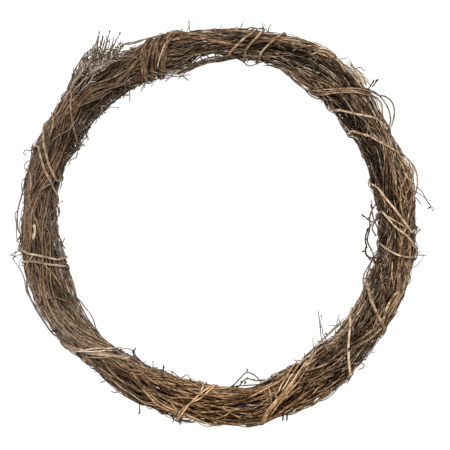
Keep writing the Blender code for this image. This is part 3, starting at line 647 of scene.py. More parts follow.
def strewn(rng, look, stations):
    # bearings along each vine: from anywhere round the ring, so far one way or the other
    span = rng.uniform(*look["span"], (look["count"], 1)) * rng.choice((-1, 1), (look["count"], 1))
    return rng.uniform(0, 360, (look["count"], 1)) + span * np.linspace(0, 1, stations)


def strandPart(rng, middle, girth, look):
    # each vine circles its strand's middle line at a wandering distance, and is held inside the bundle's oval
    bearing = strewn(rng, look, look["stations"])
    count = len(bearing)
    thickness = rng.beta(*strandVines["thickness"], (count, 1))
    radius = (look["radius"][0] + np.ptp(look["radius"]) * thickness) * mm
    restless = atBearing(ring["restless"], bearing)
    angle = rng.uniform(0, 2 * np.pi, (count, 1))
    angle = angle + rng.uniform(-1, 1, (count, 1)) * look["twist"] * np.radians(bearing)
    angle += restless * drift(rng, bearing, look["waves"], look["turning"])
    reach = rng.uniform(*strandVines["reach"], (count, 1))
    reach = reach + restless * drift(rng, bearing, look["waves"], look["wander"])
    reach = np.clip(reach, 0, strandVines["furthest"]) * look["spread"]
    away = sampleRound(middle, bearing)
    room = sampleRound(girth, bearing) - strandVines["edge"] * radius
    offset = np.stack((np.cos(angle), np.sin(angle)), axis=-1) * (reach * room)[..., None]
    waves, size = strandVines["waver"]
    offset += np.stack([drift(rng, bearing, waves, size * mm) for _ in range(2)], axis=-1)
    line = sampleRound(middleLine, bearing)
    half = sampleRound(halfSize, bearing) - radius[..., None]
    inside = away + offset - line
    outward, inward = (atBearing(ring[kind], bearing) for kind in ("outward", "inward"))
    half[..., 0] += np.where(inside[..., 0] > 0, outward, inward) * mm
    beyond = np.linalg.norm(inside / half, axis=-1, keepdims=True)
    held = rng.uniform(*strandVines["held"], (count, 1, 1))
    inside *= np.minimum(1, held / (beyond + 1e-9))
    paths = placeOnRing(bearing, line[..., 0] + inside[..., 0], line[..., 1] + inside[..., 1])
    radii = girthAlong(rng, strandVines, radius, bearing) * knotted(rng, paths)
    cover(paths, radii, 4)
    depth = np.minimum(beyond[..., 0], held[..., 0])
    # painted shade: a vine deeper in the bundle keeps less of its tint
    tint = rng.beta(*look["tint"], (count, 1)) * np.interp(depth, *strandVines["buriedShade"])
    return tubes(rng, paths, radii, look["sides"], shaded(tint, paths))


def makeStrandVines():
    # thin vines in place of each outer strand, those of every third one grey
    rng = np.random.default_rng(strandVines["seed"])
    for number, node in enumerate(outerStrands, 1):
        parts = [strandPart(rng, *strandShapes[node], strandVines[kind]) for kind in ("stout", "fine")]
        addPiece(f"{node}_vines", parts, "barkBrown" if number % 3 else "barkGrey", [node])


makeStrandVines()
print("strands dressed: reach", (np.percentile(reachMap[reachMap > 0], (5, 50, 95)) / mm).round(1))


# Fibres: fine twigs that lie on the strands, thin stems along the edges and short ones that stand off them

fibreShape = {"stations": 16, "sides": 4, "taper": 0.15, "window": 5}
lyingFibres = {
    "count": 1050,
    "span": (3.0, 17.0),  # degrees of bearing
    "clock": (-40, 220),
    "turning": 24,
    "wander": ((13, 27), 4.0),
    "radius": (0.3, 0.8),
    "seat": 0.3,  # of its radius, above what it lies on
    "rise": (0.5, 0.55, 3.0),  # mean mm, share of the length where it begins, steepness
    "tint": (1.8, 1.9),
    "brown": (  # share of brown ones, by bearing
        (0, 30, 60, 110, 150, 235, 260, 290, 330, 360),
        (0.4, 0.15, 0.15, 0.5, 0.5, 0.5, 1.0, 1.0, 0.5, 0.4),
    ),
    "seed": 16,
}
edgeStems = {
    "count": 340,
    "span": (2.5, 9.0),
    "clocks": (3.0, 177.0),  # the outer edge and the inner one
    "spread": 9,
    "turning": 8,
    "rise": (1.6, 0.42),  # the gamma law of how far off the edge they bow, in mm
    "waver": ((31, 67), 0.2),
    "radius": (0.3, 0.5),
    "sunk": 0.4,
    "tint": (0.35, 0.85),
    "seed": 18,
}
edgeFibres = {
    "places": (  # first and last bearing, clock, how far they stand off in mm, number
        (0, 360, 178, 1.3, 60), (0, 360, 2, 1.3, 50), (122, 150, 172, 2.6, 60), (103, 120, 180, 3.4, 24),
        (62, 86, 178, 2.4, 16), (72, 90, 4, 2.6, 18), (94, 108, 4, 1.6, 10), (36, 57, 8, 2.2, 12),
        (-8, 12, 2, 2.6, 12), (300, 322, 178, 3.0, 16), (-24, 6, 178, 2.6, 14), (238, 264, 176, 2.2, 26),
        (218, 242, 4, 2.0, 10), (303, 332, 4, 1.8, 12), (182, 190, 2, 3.2, 10),
    ),
    "spread": 18,
    "span": (0.6, 3.6),
    "turning": 14,
    "rise": (2.0, 0.5),  # the gamma law of their share of that distance
    "bend": 1.4,  # power of the way along them
    "radius": (0.3, 0.6),
    "tip": 0.75,
    "sunk": 0.5,
    "tint": (1.6, 2.0),
    "buds": {"share": 0.3, "length": (1.2, 2.0), "girth": 0.38, "tint": 0.25},
    "seed": 17,
}


def atEdge(bearing, clock, radii, sunk, lift):
    # paths over the bundle alone, each point at least its radius and a little more above the floor
    paths = layOver(bearing, clock, -sunk * radii, lift, width=fibreShape["window"], surface=bundleReach)
    height = np.maximum(paths[..., 2:], radii[..., None] + ring["floorGap"])
    return np.concatenate((paths[..., :2], height), axis=-1)


def layFibres():
    # each drifts round the bundle on its way round the ring, and its last part rises off the strands
    look = lyingFibres
    rng = np.random.default_rng(look["seed"])
    count, stations = look["count"], fibreShape["stations"]
    share = np.linspace(0, 1, stations)
    bearing = strewn(rng, look, stations)
    restless = atBearing(ring["restless"], bearing)
    clock = rng.uniform(*look["clock"], (count, 1))
    clock = clock + restless * rng.normal(0, look["turning"], (count, 1)) * share
    clock += drift(rng, bearing, *look["wander"])
    radii = rng.uniform(*look["radius"], (count, 1)) * mm * tapered(stations, fibreShape["taper"])
    mean, begin, steepness = look["rise"]
    lift = rng.exponential(mean, (count, 1)) * np.clip(share - begin, 0, 1) * steepness * mm
    paths = layOver(bearing, clock, look["seat"] * radii, lift, width=fibreShape["window"])
    cover(paths, radii, 2)
    tint = shaded(rng.beta(*look["tint"], (count, 1)), paths)
    brown = rng.uniform(0, 1, count) < atBearing(look["brown"], bearing[:, 0])
    for bark, some in (("barkBrown", brown), ("barkGrey", ~brown)):
        part = tubes(rng, paths[some], radii[some], fibreShape["sides"], tint[some])
        addPiece(f"fibres_lying_{barks[bark]['slot']}", [part], bark)


def makeEdgeStems():
    # thin stems along the bundle's edges, lifted off them along half a sine
    look = edgeStems
    rng = np.random.default_rng(look["seed"])
    count, stations = look["count"], fibreShape["stations"]
    share = np.linspace(0, 1, stations)
    bearing = strewn(rng, look, stations)
    clock = rng.choice(look["clocks"], (count, 1)) + rng.normal(0, look["spread"], (count, 1))
    clock = clock + rng.normal(0, look["turning"], (count, 1)) * share
    waves, size = look["waver"]
    lift = rng.gamma(*look["rise"], (count, 1)) * np.sin(np.pi * share) * mm
    lift = lift + drift(rng, bearing, waves, size * mm)
    radii = rng.uniform(*look["radius"], (count, 1)) * mm * tapered(stations, fibreShape["taper"])
    paths = atEdge(bearing, clock, radii, look["sunk"], lift)
    tint = rng.uniform(*look["tint"], count)
    addPiece("fibres_along", [tubes(rng, paths, radii, fibreShape["sides"], tint)], "barkGrey")


def makeEdgeFibres():
    # rooted in the edges, and standing off them by a power of the way along
    look, buds = edgeFibres, edgeFibres["buds"]
    rng = np.random.default_rng(look["seed"])
    share = np.linspace(0, 1, fibreShape["stations"])
    places = np.array(look["places"])
    rows = np.repeat(places, places[:, 4].astype(int), axis=0)
    count = len(rows)
    first, last, clock, away = (column[:, None] for column in rows.T[:4])
    clock = clock + rng.normal(0, look["spread"], (count, 1))
    span = rng.uniform(*look["span"], (count, 1)) * rng.choice((-1, 1), (count, 1))
    bearing = first + rng.uniform(0, 1, (count, 1)) * (last - first) + span * share
    clock = clock + rng.normal(0, look["turning"], (count, 1)) * share
    lift = away * rng.gamma(*look["rise"], (count, 1)) * share ** look["bend"] * mm
    radii = rng.uniform(*look["radius"], (count, 1)) * mm * (1 + (look["tip"] - 1) * share)
    paths = atEdge(bearing, clock, radii, look["sunk"], lift)
    parts = [tubes(rng, paths, radii, fibreShape["sides"], rng.beta(*look["tint"], count))]
    budded = rng.uniform(0, 1, count) < buds["share"]
    ways = paths[:, -1] - paths[:, -3]
    ways /= np.linalg.norm(ways, axis=1, keepdims=True)
    size = rng.uniform(*buds["length"], count)[budded] * mm
    parts.append(makeBuds(rng, paths[budded, -1], ways[budded], size, size * buds["girth"], buds["tint"]))
    addPiece("fibres_edge", parts, "twigDark")


layFibres()
print("fibres laid")


# Runners: twisted vines that wander over the bundle, with thinner single ones beside them

runners = {  # radius in mm, then bearing and clock of each knot
    "runner_1": (1.6, (150, 70), (128, 120), (104, 60), (84, 105), (60, 18), (44, 50)),
    "runner_2": (1.4, (66, 160), (50, 110), (30, 75), (8, 120), (-14, 60), (-32, 10)),
    "runner_3": (1.6, (12, 30), (-8, 78), (-28, 42), (-48, 100), (-70, 140), (-88, 95)),
    "runner_4": (1.5, (-60, 60), (-82, 20), (-104, 75), (-126, 150), (-150, 95)),
    "runner_5": (1.4, (276, 120), (256, 160), (236, 110), (210, 60), (186, 105), (166, 40)),
    "runner_6": (1.5, (204, 20), (180, 72), (158, 130), (136, 90), (118, 150)),
    "runner_7": (1.6, (100, 336), (70, 322), (40, 338), (10, 326), (-20, 340)),
    "runner_8": (1.5, (330, 205), (300, 220), (270, 200), (240, 216), (205, 198), (175, 218)),
}
runnerVines = {
    "stations": 110,
    "sides": 5,
    "window": 9,  # stations that the surface under it is smoothed over
    "threads": 3,  # of one runner, twisted together
    "threadGirth": 0.55,
    "threadTint": (0.25, 0.6),
    "twistEvery": 26.0,  # degrees of bearing
    "twistWaver": ((7, 12), 0.7),
    "twistSideways": 0.55,  # of the runner's radius
    "twistUp": 0.35,
    "bundleRadius": 21.0,  # about, in mm
    "companions": 7,
    "apart": 36.0,
    "begin": (-0.1, 0.5),  # of the runner's length, how far from its start a companion begins
    "finish": (-0.1, 0.35),  # and how far from its end it stops
    "wander": ((4, 9, 15), 5.0),
    "companionGirth": (0.35, 0.8),
    "companionTint": (1.6, 2.2),
    "taper": 0.06,
    "lumps": ((11, 29, 47), 0.1),
    "seat": 0.2,
    "seed": 12,
}


def eased(at, knots, values):
    # from one knot's value to the next along half a cosine
    order = np.argsort(knots)
    knots, values = np.asarray(knots, float)[order], np.asarray(values, float)[order]
    left = np.clip(np.searchsorted(knots, at, side="right") - 1, 0, len(knots) - 2)
    share = np.clip((at - knots[left]) / (knots[left + 1] - knots[left]), 0, 1)
    return values[left] + (values[left + 1] - values[left]) * (0.5 - 0.5 * np.cos(np.pi * share))


def makeRunners():
    # a thread's place in the twist is the cosine and the sine of a turning angle, sideways and up
    look = runnerVines
    rng = np.random.default_rng(look["seed"])
    stations, threads, companions = look["stations"], look["threads"], look["companions"]
    number = np.arange(threads + companions)[:, None]
    twisted = number < threads
    for name, (radius, *knots) in runners.items():
        bearings, clocks = zip(*knots)
        low, high = min(bearings), max(bearings)
        begin = np.concatenate((np.zeros(threads), rng.uniform(*look["begin"], companions)))
        finish = np.concatenate((np.zeros(threads), rng.uniform(*look["finish"], companions)))
        begin, finish = low + (high - low) * begin, high - (high - low) * finish
        bearing = begin[:, None] + (finish - begin)[:, None] * np.linspace(0, 1, stations)
        aside = np.concatenate((np.zeros(threads), rng.uniform(-1, 1, companions)))[:, None]
        clock = eased(bearing, bearings, clocks) + aside * look["apart"]
        clock = clock + drift(rng, bearing, *look["wander"]) * ~twisted
        turn = 2 * np.pi * (bearing / look["twistEvery"] + number / threads)
        turn = turn + drift(rng, bearing, *look["twistWaver"])
        sideways = look["twistSideways"] * radius * np.cos(turn) / look["bundleRadius"]
        clock = clock + np.degrees(sideways) * twisted
        lift = look["twistUp"] * radius * mm * (1 + np.sin(turn)) * twisted
        girth = np.full(threads, radius * look["threadGirth"])
        girth = np.concatenate((girth, rng.uniform(*look["companionGirth"], companions)))[:, None] * mm
        radii = girthAlong(rng, look, girth, bearing)
        paths = layOver(bearing, clock, look["seat"] * radii, lift, width=look["window"])
        tint = rng.uniform(*look["threadTint"], threads)
        tint = np.concatenate((tint, rng.beta(*look["companionTint"], companions)))
        tint = shaded(tint[:, None], paths)
        cover(paths, radii)
        addPiece(f"{name}_vines", [tubes(rng, paths, radii, look["sides"], tint)], "barkTan", [name])


makeRunners()
print("runners laid")


# Binders: vines wound round the bundle

binders = {  # radius in mm, vines side by side, each winding's outer and inner bearing, threads of a vine
    "binder_collar": (1.7, 1, ((102.4, 111.8), (106.0, 115.2), (110.0, 118.4)), 3),
    "binder_top": (1.2, 1, ((71.3, 77.5), (76.4, 83.2), (79.4, 87.3)), 1),
    "binder_upper_right": (1.1, 2, ((39.1, 52.2),), 1),
    "binder_right_high": (1.15, 1, ((15.0, 33.5), (28.7, 44.2)), 1),
    "binder_right": (1.1, 1, ((-6.9, 4.3), (-3.6, 13.6)), 1),
    "binder_right_low": (1.05, 1, ((-11.6, -7.5),), 1),
    "binder_strap": (1.9, 1, ((-34.1, -23.0),), 1),
    "binder_cane": (1.4, 1, ((-50.2, -36.7),), 1),
    "binder_lower_right": (1.05, 3, ((-77.5, -57.1),), 1),
    "binder_bottom": (1.15, 1, ((258.3, 264.8), (260.4, 268.3)), 1),
    "binder_lower_left": (1.0, 3, ((220.9, 237.2),), 1),
    "binder_left": (1.1, 1, ((187.0, 193.0), (191.6, 196.6)), 1),
    "binder_upper_left": (1.25, 1, ((152.8, 168.7), (158.4, 170.8)), 1),
    "binder_shoulder": (1.3, 1, ((138.6, 149.3),), 1),
}
binderTops = {  # x, y, x, y along each winding over the top, in the picture, from its outer edge inwards
    "binder_top": (
        (281, 34, 275, 40, 268, 47, 260, 56), (263, 29, 258, 37, 252, 44, 245, 53),
        (254, 30, 246, 38, 239, 45, 231, 54),
    ),
    "binder_upper_right": ((379, 95, 366, 92.5, 350, 92.5, 334, 94, 319, 95),),
    "binder_right_high": (
        (413, 170, 410, 162, 400, 154, 391, 149, 380, 144, 368, 138, 358, 136, 350, 132),
        (390, 128, 380, 121, 370, 118, 358, 117, 346, 115, 337, 112),
    ),
    "binder_right": (
        (414, 244, 406, 237, 399, 231, 392, 226, 386, 219, 379, 211),
        (411, 233, 404, 224, 398, 216, 390, 207, 382, 197, 375, 188),
    ),
    "binder_right_low": ((416, 257, 404, 257, 394, 254, 386, 250, 379, 245),),
    "binder_strap": ((384, 330, 381, 322, 376, 314, 371, 305, 366, 294, 364, 284),),
    "binder_cane": ((348, 376, 348, 358, 347, 344, 347, 330, 347, 318),),
    "binder_lower_right": ((263, 419, 269, 409, 276, 399, 284, 389, 292, 378, 302, 366, 312, 356),),
    "binder_bottom": (
        (180, 422, 183, 411, 189, 404, 195, 397, 199, 391, 204, 384),
        (177, 418, 181, 409, 190, 401, 199, 396, 206, 390, 214, 384),
    ),
    "binder_lower_left": ((68, 350, 80, 351, 95, 352, 108, 352, 124, 355),),
    "binder_left": (
        (19, 249, 32, 254, 47, 256, 61, 259), (22, 262, 33, 261, 48, 263, 66, 266),
    ),
    "binder_upper_left": (
        (43, 126, 43, 139, 46, 151, 50, 162, 55, 173, 60, 182),
        (37, 146, 41, 158, 46, 169, 52, 179, 57, 187),
    ),
    "binder_shoulder": ((70, 78, 71, 90, 72, 104, 73, 118, 76, 130, 79, 141),),
}
binderVines = {
    "step": 4.0,  # degrees of clock from station to station
    "tail": 70.0,  # degrees that each end goes on underneath
    "pitch": 1.8,  # from one vine to the next, in radii
    "sides": 8,
    "windows": {"line": 7, "surface": 9},  # stations that each is smoothed over
    "halfWidth": 22.0,  # mm from the bundle's middle line to a binder at its edge
    "steepest": 0.98,  # of the half width, how far out a place over the top can be
    "threadGirth": 0.62,  # of the binder's radius, if it has several threads
    "threadPitch": 0.8,
    "thickness": (0.85, 1.08),
    "taper": 0.05,
    "lumps": ((0.7, 1.9, 3.7), 0.07),
    "waver": ((0.6, 1.3, 2.1), 0.12),  # twice as much for threads
    "seat": 0.75,
    "sunk": (0.08, 2.2),  # share of the length at each end, and how many mm it goes in there
    "tint": (0.35, 0.68),
    "collarTint": (0.0, 0.3),
    "tints": {
        "binder_cane": (0.85, 0.95), "binder_lower_right": (0.5, 0.85), "binder_bottom": (0.7, 0.85),
        "binder_right_high": (0.55, 0.8), "binder_right": (0.6, 0.85), "binder_right_low": (0.6, 0.75),
        "binder_shoulder": (0.3, 0.45), "binder_top": (0.4, 0.6), "binder_lower_left": (0.5, 0.8),
    },
    "seed": 13,
}


def overTop(spots):
    # clock angle and bearing of each place: the cosine of the clock is its distance past the middle line over
    # the half width
    bearing, far = fromRing(fromPicture(spots))
    past = far - sampleRound(middleLine, bearing)[:, 0]
    steepest = binderVines["steepest"]
    clock = np.degrees(np.arccos(np.clip(past / (binderVines["halfWidth"] * mm), -steepest, steepest)))
    order = np.argsort(clock)
    return clock[order], bearing[order]


def windingLine(name, windings):
    # clocks and bearings that each winding passes, from its outer to its inner edge and back underneath
    gap = windings[0][1] - windings[0][0]
    knots, bearings = [-180.0], [windings[0][0] - gap]
    for turn, (outer, inner) in enumerate(windings):
        clocks, found = np.array((0.0, 180.0)), (outer, inner)
        if name in binderTops:
            clocks, found = overTop(np.reshape(binderTops[name][turn], (-1, 2)))
            found = outer + (found - outer + 180) % 360 - 180
        knots += list(360.0 * turn + clocks)
        bearings += list(found)
    return knots + [360.0 * len(windings)], bearings + [windings[-1][1] + gap]


def makeBinders():
    # the vines or threads of a binder lie side by side along its line, and their ends go in
    look = binderVines
    rng = np.random.default_rng(look["seed"])
    for name, (radius, vines, windings, threads) in binders.items():
        knots, bearings = windingLine(name, windings)
        clock = np.arange(-look["tail"], 360.0 * len(windings) - 180 + look["tail"], look["step"])
        count, stations, threaded = vines * threads, len(clock), threads > 1
        line = smoothAlong(np.interp(clock, knots, bearings)[None], look["windows"]["line"])
        clock = np.repeat(clock[None], count, axis=0)
        thin = look["threadGirth"] if threaded else 1.0
        thickness = rng.uniform(*look["thickness"], (count, 1))
        radii = girthAlong(rng, look, radius * thin * mm * thickness, clock)
        place = (np.arange(count) - (count - 1) / 2)[:, None]
        apart = radius * look["pitch"] * (look["threadPitch"] if threaded else 1.0) * mm
        waves, size = look["waver"]
        aside = np.degrees(apart * place / ring["radius"]) + drift(rng, clock, waves, size * (1 + threaded))
        ends, depth = look["sunk"]
        inward = np.clip((1 - tapered(stations, ends, 0.0, 0.0)), 0, 1) * depth * mm
        paths = layOver(line + aside, clock, look["seat"] * radii - inward, width=look["windows"]["surface"])
        usual = look["collarTint" if threaded else "tint"]
        tint = rng.uniform(*look["tints"].get(name, usual), count)
        cover(paths, radii)
        addPiece(f"{name}_vine", [tubes(rng, paths, radii, look["sides"], tint)], "binderTan", [name])


makeBinders()
print("binders wound")
bundleReach = reachMap.copy()


# Loose strands and tendrils

looseStrands = {  # radius in mm, then bearing, clock and mm off the surface at each knot
    "loose_loop": (
        0.95, (48, 60, 0), (43, 32, 0), (39, 14, 4), (34, 3, 9), (31, 0, 7), (28, 12, 0), (24.5, 35, 0),
    ),
    "loose_loop_inner": (
        0.9, (45, 20, 0), (40.5, 4, 2), (36, -12, 4), (32, -6, 2), (29, -12, 0), (26, -25, 0),
    ),
    "loose_top_left": (
        0.9, (127, 30, 0), (122, 14, 3), (118.5, 8, 7), (114, 4, 5), (110.5, 12, 0), (106.5, 35, 0),
    ),
    "loose_inner_top": (0.9, (109, 145, 0), (103, 172, 3), (97, 178, 3.5), (91, 176, 3), (86, 152, 0)),
    "loose_inner_upper_right": (
        0.95, (72, 140, 0), (65, 168, 2.5), (59, 176, 4), (53, 170, 2.5), (47, 140, 0),
    ),
    "loose_left_edge": (0.85, (166, 25, 0), (171, 8, 2), (177, 0, 5), (181.5, 2, 2.5), (184.5, 22, 0)),
    "loose_lower_left": (
        0.95, (195, 25, 0), (199, 4, 3), (204.5, -4, 4), (210, 0, 3), (214.5, 10, 0), (218, 30, 0),
    ),
    "loose_inner_left": (0.85, (203, 165, 0), (210, 178, 3.5), (217, 184, 3), (224, 168, 0)),
    "loose_inner_right": (0.9, (-9, 150, 0), (-14, 172, 3), (-20, 180, 5), (-26, 160, 0), (-33, 130, 0)),
    "tendril_right": (
        0.9, (8, 150, 0), (3, 170, 6), (-2.5, 178, 9.5), (-7, 182, 9), (-11.5, 175, 3), (-17, 150, 0),
    ),
    "tendril_bottom": (
        0.85, (273, 150, 0), (276.5, 174, 3), (280.5, 176, 10), (283.5, 180, 7), (287, 168, 0),
    ),
    "tendril_lower_right": (
        0.85, (-33, 150, 0), (-37, 172, 1.5), (-43, 178, 5), (-50, 172, 3), (-55, 150, 0),
    ),
}
looseVines = {
    "stations": 48,
    "sides": 6,
    "thickness": 0.9,
    "seat": 0.7,
    "taper": 0.08,
    "lumps": ((21, 43, 67), 0.08),
    "tint": 0.55,
    "tints": {"tendril_lower_right": 0.95},
    "buds": {"first": 6, "every": 7, "lean": 1.6, "length": (1.8, 3.0), "girth": 0.4, "tint": 0.3},
    "seed": 14,
}


def smoothLine(knots, stations):
    # a cubic between each two knots, whose slope at a knot is that from the knot before to the one after
    knots = np.asarray(knots, float)
    chord = np.concatenate(([0], np.cumsum(np.linalg.norm(np.diff(knots, axis=0), axis=1))))
    slope = np.gradient(knots, chord, axis=0)
    at = np.linspace(0, chord[-1], stations)
    left = np.clip(np.searchsorted(chord, at, side="right") - 1, 0, len(chord) - 2)
    width = (chord[left + 1] - chord[left])[:, None]
    t = (at - chord[left])[:, None] / width
    return (
        (2 * t**3 - 3 * t**2 + 1) * knots[left]
        + (t**3 - 2 * t**2 + t) * width * slope[left]
        + (3 * t**2 - 2 * t**3) * knots[left + 1]
        + (t**3 - t**2) * width * slope[left + 1]
    )


def makeLooseStrands():
    # a smooth line through the knots, and on the tendrils buds that lean towards the wreath's middle
    look, buds = looseVines, looseVines["buds"]
    rng = np.random.default_rng(look["seed"])
    stations = look["stations"]
    for name, (radius, *knots) in looseStrands.items():
        bearings, clocks, lifts = (np.array(column, float)[None] for column in zip(*knots))
        corners = layOver(bearings, clocks, look["seat"] * radius * mm, lifts * mm, width=1, greatest=0)[0]
        paths = smoothLine(corners, stations)[None]
        bearing = np.linspace(bearings[0, 0], bearings[0, -1], stations)[None]
        radii = girthAlong(rng, look, radius * look["thickness"] * mm, bearing)
        parts = [tubes(rng, paths, radii, look["sides"], look["tints"].get(name, look["tint"]))]
        if name.startswith("tendril"):
            roots = paths[0, buds["first"]:-buds["first"]:buds["every"]]
            ways = rng.normal(0, 1, roots.shape)
            ways[:, :2] += buds["lean"] * (np.array(ring["middle"]) - roots[:, :2]) / ring["radius"]
            ways /= np.linalg.norm(ways, axis=1, keepdims=True)
            size = rng.uniform(*buds["length"], len(roots)) * mm
            parts.append(makeBuds(rng, roots, ways, size, size * buds["girth"], buds["tint"]))
        cover(paths, radii)
        addPiece(f"{name}_vine", parts, "barkGrey", [name])


makeLooseStrands()
print("loose strands laid")


# Twigs and the brush of twig ends

twigs = {  # root: bearing, clock; tip: bearing, mm from the ring's middle, height in mm; shoots of each stem
    "brush_low": ((136.2, -22), (120.5, 205, 12), 11),
    "brush_middle": ((136.0, 6), (121.5, 216, 20), 11),
    "brush_high": ((136.0, 34), (119.0, 211, 29), 11),
    "brush_crown": ((136.0, 60), (117.0, 204, 39), 11),
    "twig_top": ((98.3, 12), (98.2, 200, 27), 0),
    "twig_left": ((189.3, 2), (189.6, 204, 24), 2),
    "twig_right": ((10.0, 16), (3.2, 214, 26), 1),
    "twig_right_spike": ((-14.5, 6), (-9.4, 208, 23), 0),
    "twig_lower_right": ((-48, 168), (-42.4, 140, 24), 0),
}
brush = {  # its stems, and how far they are spread about the root and the tip
    "stems": 7,
    "girth": 0.8,
    "rootBearing": (-2.5, 4.0),
    "rootClock": (-14, 14),
    "tipBearing": (-0.5, 8.5),
    "tipAway": (-17, -5),
    "tipUp": (-4, 4),
}
twigVines = {
    "stations": 16,
    "girth": 0.5,
    "thickness": (0.75, 1.3),
    "tint": (0.25, 0.9),
    "rootDepth": 1.0,
    "bow": 0.14,  # of the twig's length
    "wiggle": (17, 0.012),  # turn along a stem in radians, and share of its length
    "tip": 0.5,
    "sides": 5,
    "shoots": {
        "lowest": 3,  # station of the stem
        "lean": (0.2, 1.1),
        "rise": (-0.2, 0.3),
        "length": (2.5, 6.0),
        "bow": 0.12,
        "girth": 0.85,
        "stations": 7,
        "tint": (0.1, 1.3),
    },
    "buds": {"length": (1.2, 2.0), "girth": 0.36, "tint": (0.1, 0.8), "endLength": 2.0, "endTint": 0.3},
    "seed": 15,
}


def sprig(rng, starts, ends, bow, girth, stations, tint):
    # stems bent by half a sine sideways between their ends, with a faster sine on it, thinner towards the tip
    turning, size = twigVines["wiggle"]
    share = np.linspace(0, 1, stations)[None, :, None]
    paths = starts[:, None] + (ends - starts)[:, None] * share + bow[:, None] * np.sin(np.pi * share)
    length = np.linalg.norm(ends - starts, axis=1)[:, None, None]
    wave = np.sin(share * turning + rng.uniform(0, 6, (len(starts), 1, 1)))
    paths += length * size * wave * rng.normal(0, 1, (len(starts), 1, 3))
    radii = girth[:, None] * np.linspace(1.0, twigVines["tip"], stations)
    return paths, tubes(rng, paths, radii, twigVines["sides"], tint)


def makeTwigs():
    # stems from the surface to their tips, with shoots that lean to either side, and a bud on every end
    look, shoots, buds = twigVines, twigVines["shoots"], twigVines["buds"]
    rng = np.random.default_rng(look["seed"])
    for name, (root, tip, number) in twigs.items():
        brushy = name.startswith("brush")
        stems = brush["stems"] if brushy else 1
        bearing = root[0] + rng.uniform(*brush["rootBearing"], (stems, 1)) * brushy
        clock = root[1] + rng.uniform(*brush["rootClock"], (stems, 1)) * brushy
        row, column = cellsOf(bearing, clock)
        reach = widened(reachMap)[row, column] - look["rootDepth"] * mm
        starts = overBundle(bearing, clock, reach)[:, 0]
        ends = placeOnRing(
            tip[0] + rng.uniform(*brush["tipBearing"], stems) * brushy,
            (tip[1] + rng.uniform(*brush["tipAway"], stems) * brushy) * mm,
            (tip[2] + rng.uniform(*brush["tipUp"], stems) * brushy) * mm,
        )
        span = np.linalg.norm(ends - starts, axis=1)
        outward = starts - overBundle(bearing[:, 0], clock[:, 0], 0.0)
        outward /= np.linalg.norm(outward, axis=1, keepdims=True)
        bow = outward * (look["bow"] * span)[:, None]
        girth = (brush if brushy else look)["girth"] * mm * rng.uniform(*look["thickness"], stems)
        tint = rng.uniform(*look["tint"], stems)
        paths, part = sprig(rng, starts, ends, bow, girth, look["stations"], tint)
        parts = [part]
        if number:
            stem = np.repeat(np.arange(stems), number)
            foot = paths[stem, rng.integers(shoots["lowest"], look["stations"], len(stem))]
            along = (ends - starts)[stem] / span[stem][:, None]
            side = np.cross(along, (0, 0, 1.0))
            lean = rng.uniform(*shoots["lean"], len(stem))[:, None] * rng.choice((-1, 1), (len(stem), 1))
            way = along + lean * side + np.array((0, 0, 1)) * rng.uniform(*shoots["rise"], (len(stem), 1))
            way /= np.linalg.norm(way, axis=1, keepdims=True)
            length = rng.uniform(*shoots["length"], len(stem)) * mm
            tips = foot + way * length[:, None]
            bow = along * (length * shoots["bow"])[:, None]
            tint = rng.uniform(*shoots["tint"], len(stem))
            _, part = sprig(rng, foot, tips, bow, girth[stem] * shoots["girth"], shoots["stations"], tint)
            parts.append(part)
            size = rng.uniform(*buds["length"], len(stem)) * mm
            tint = rng.uniform(*buds["tint"], len(stem))
            parts.append(makeBuds(rng, tips, way, size, size * buds["girth"], tint))
        ways = (ends - starts) / span[:, None]
        size = np.full(stems, buds["endLength"] * mm)
        parts.append(makeBuds(rng, ends, ways, size, size * buds["girth"], buds["endTint"]))
        addPiece(f"{name}_twigs", parts, "twigDark", [name])


makeTwigs()
print("twigs set")


# Single vines seen from above

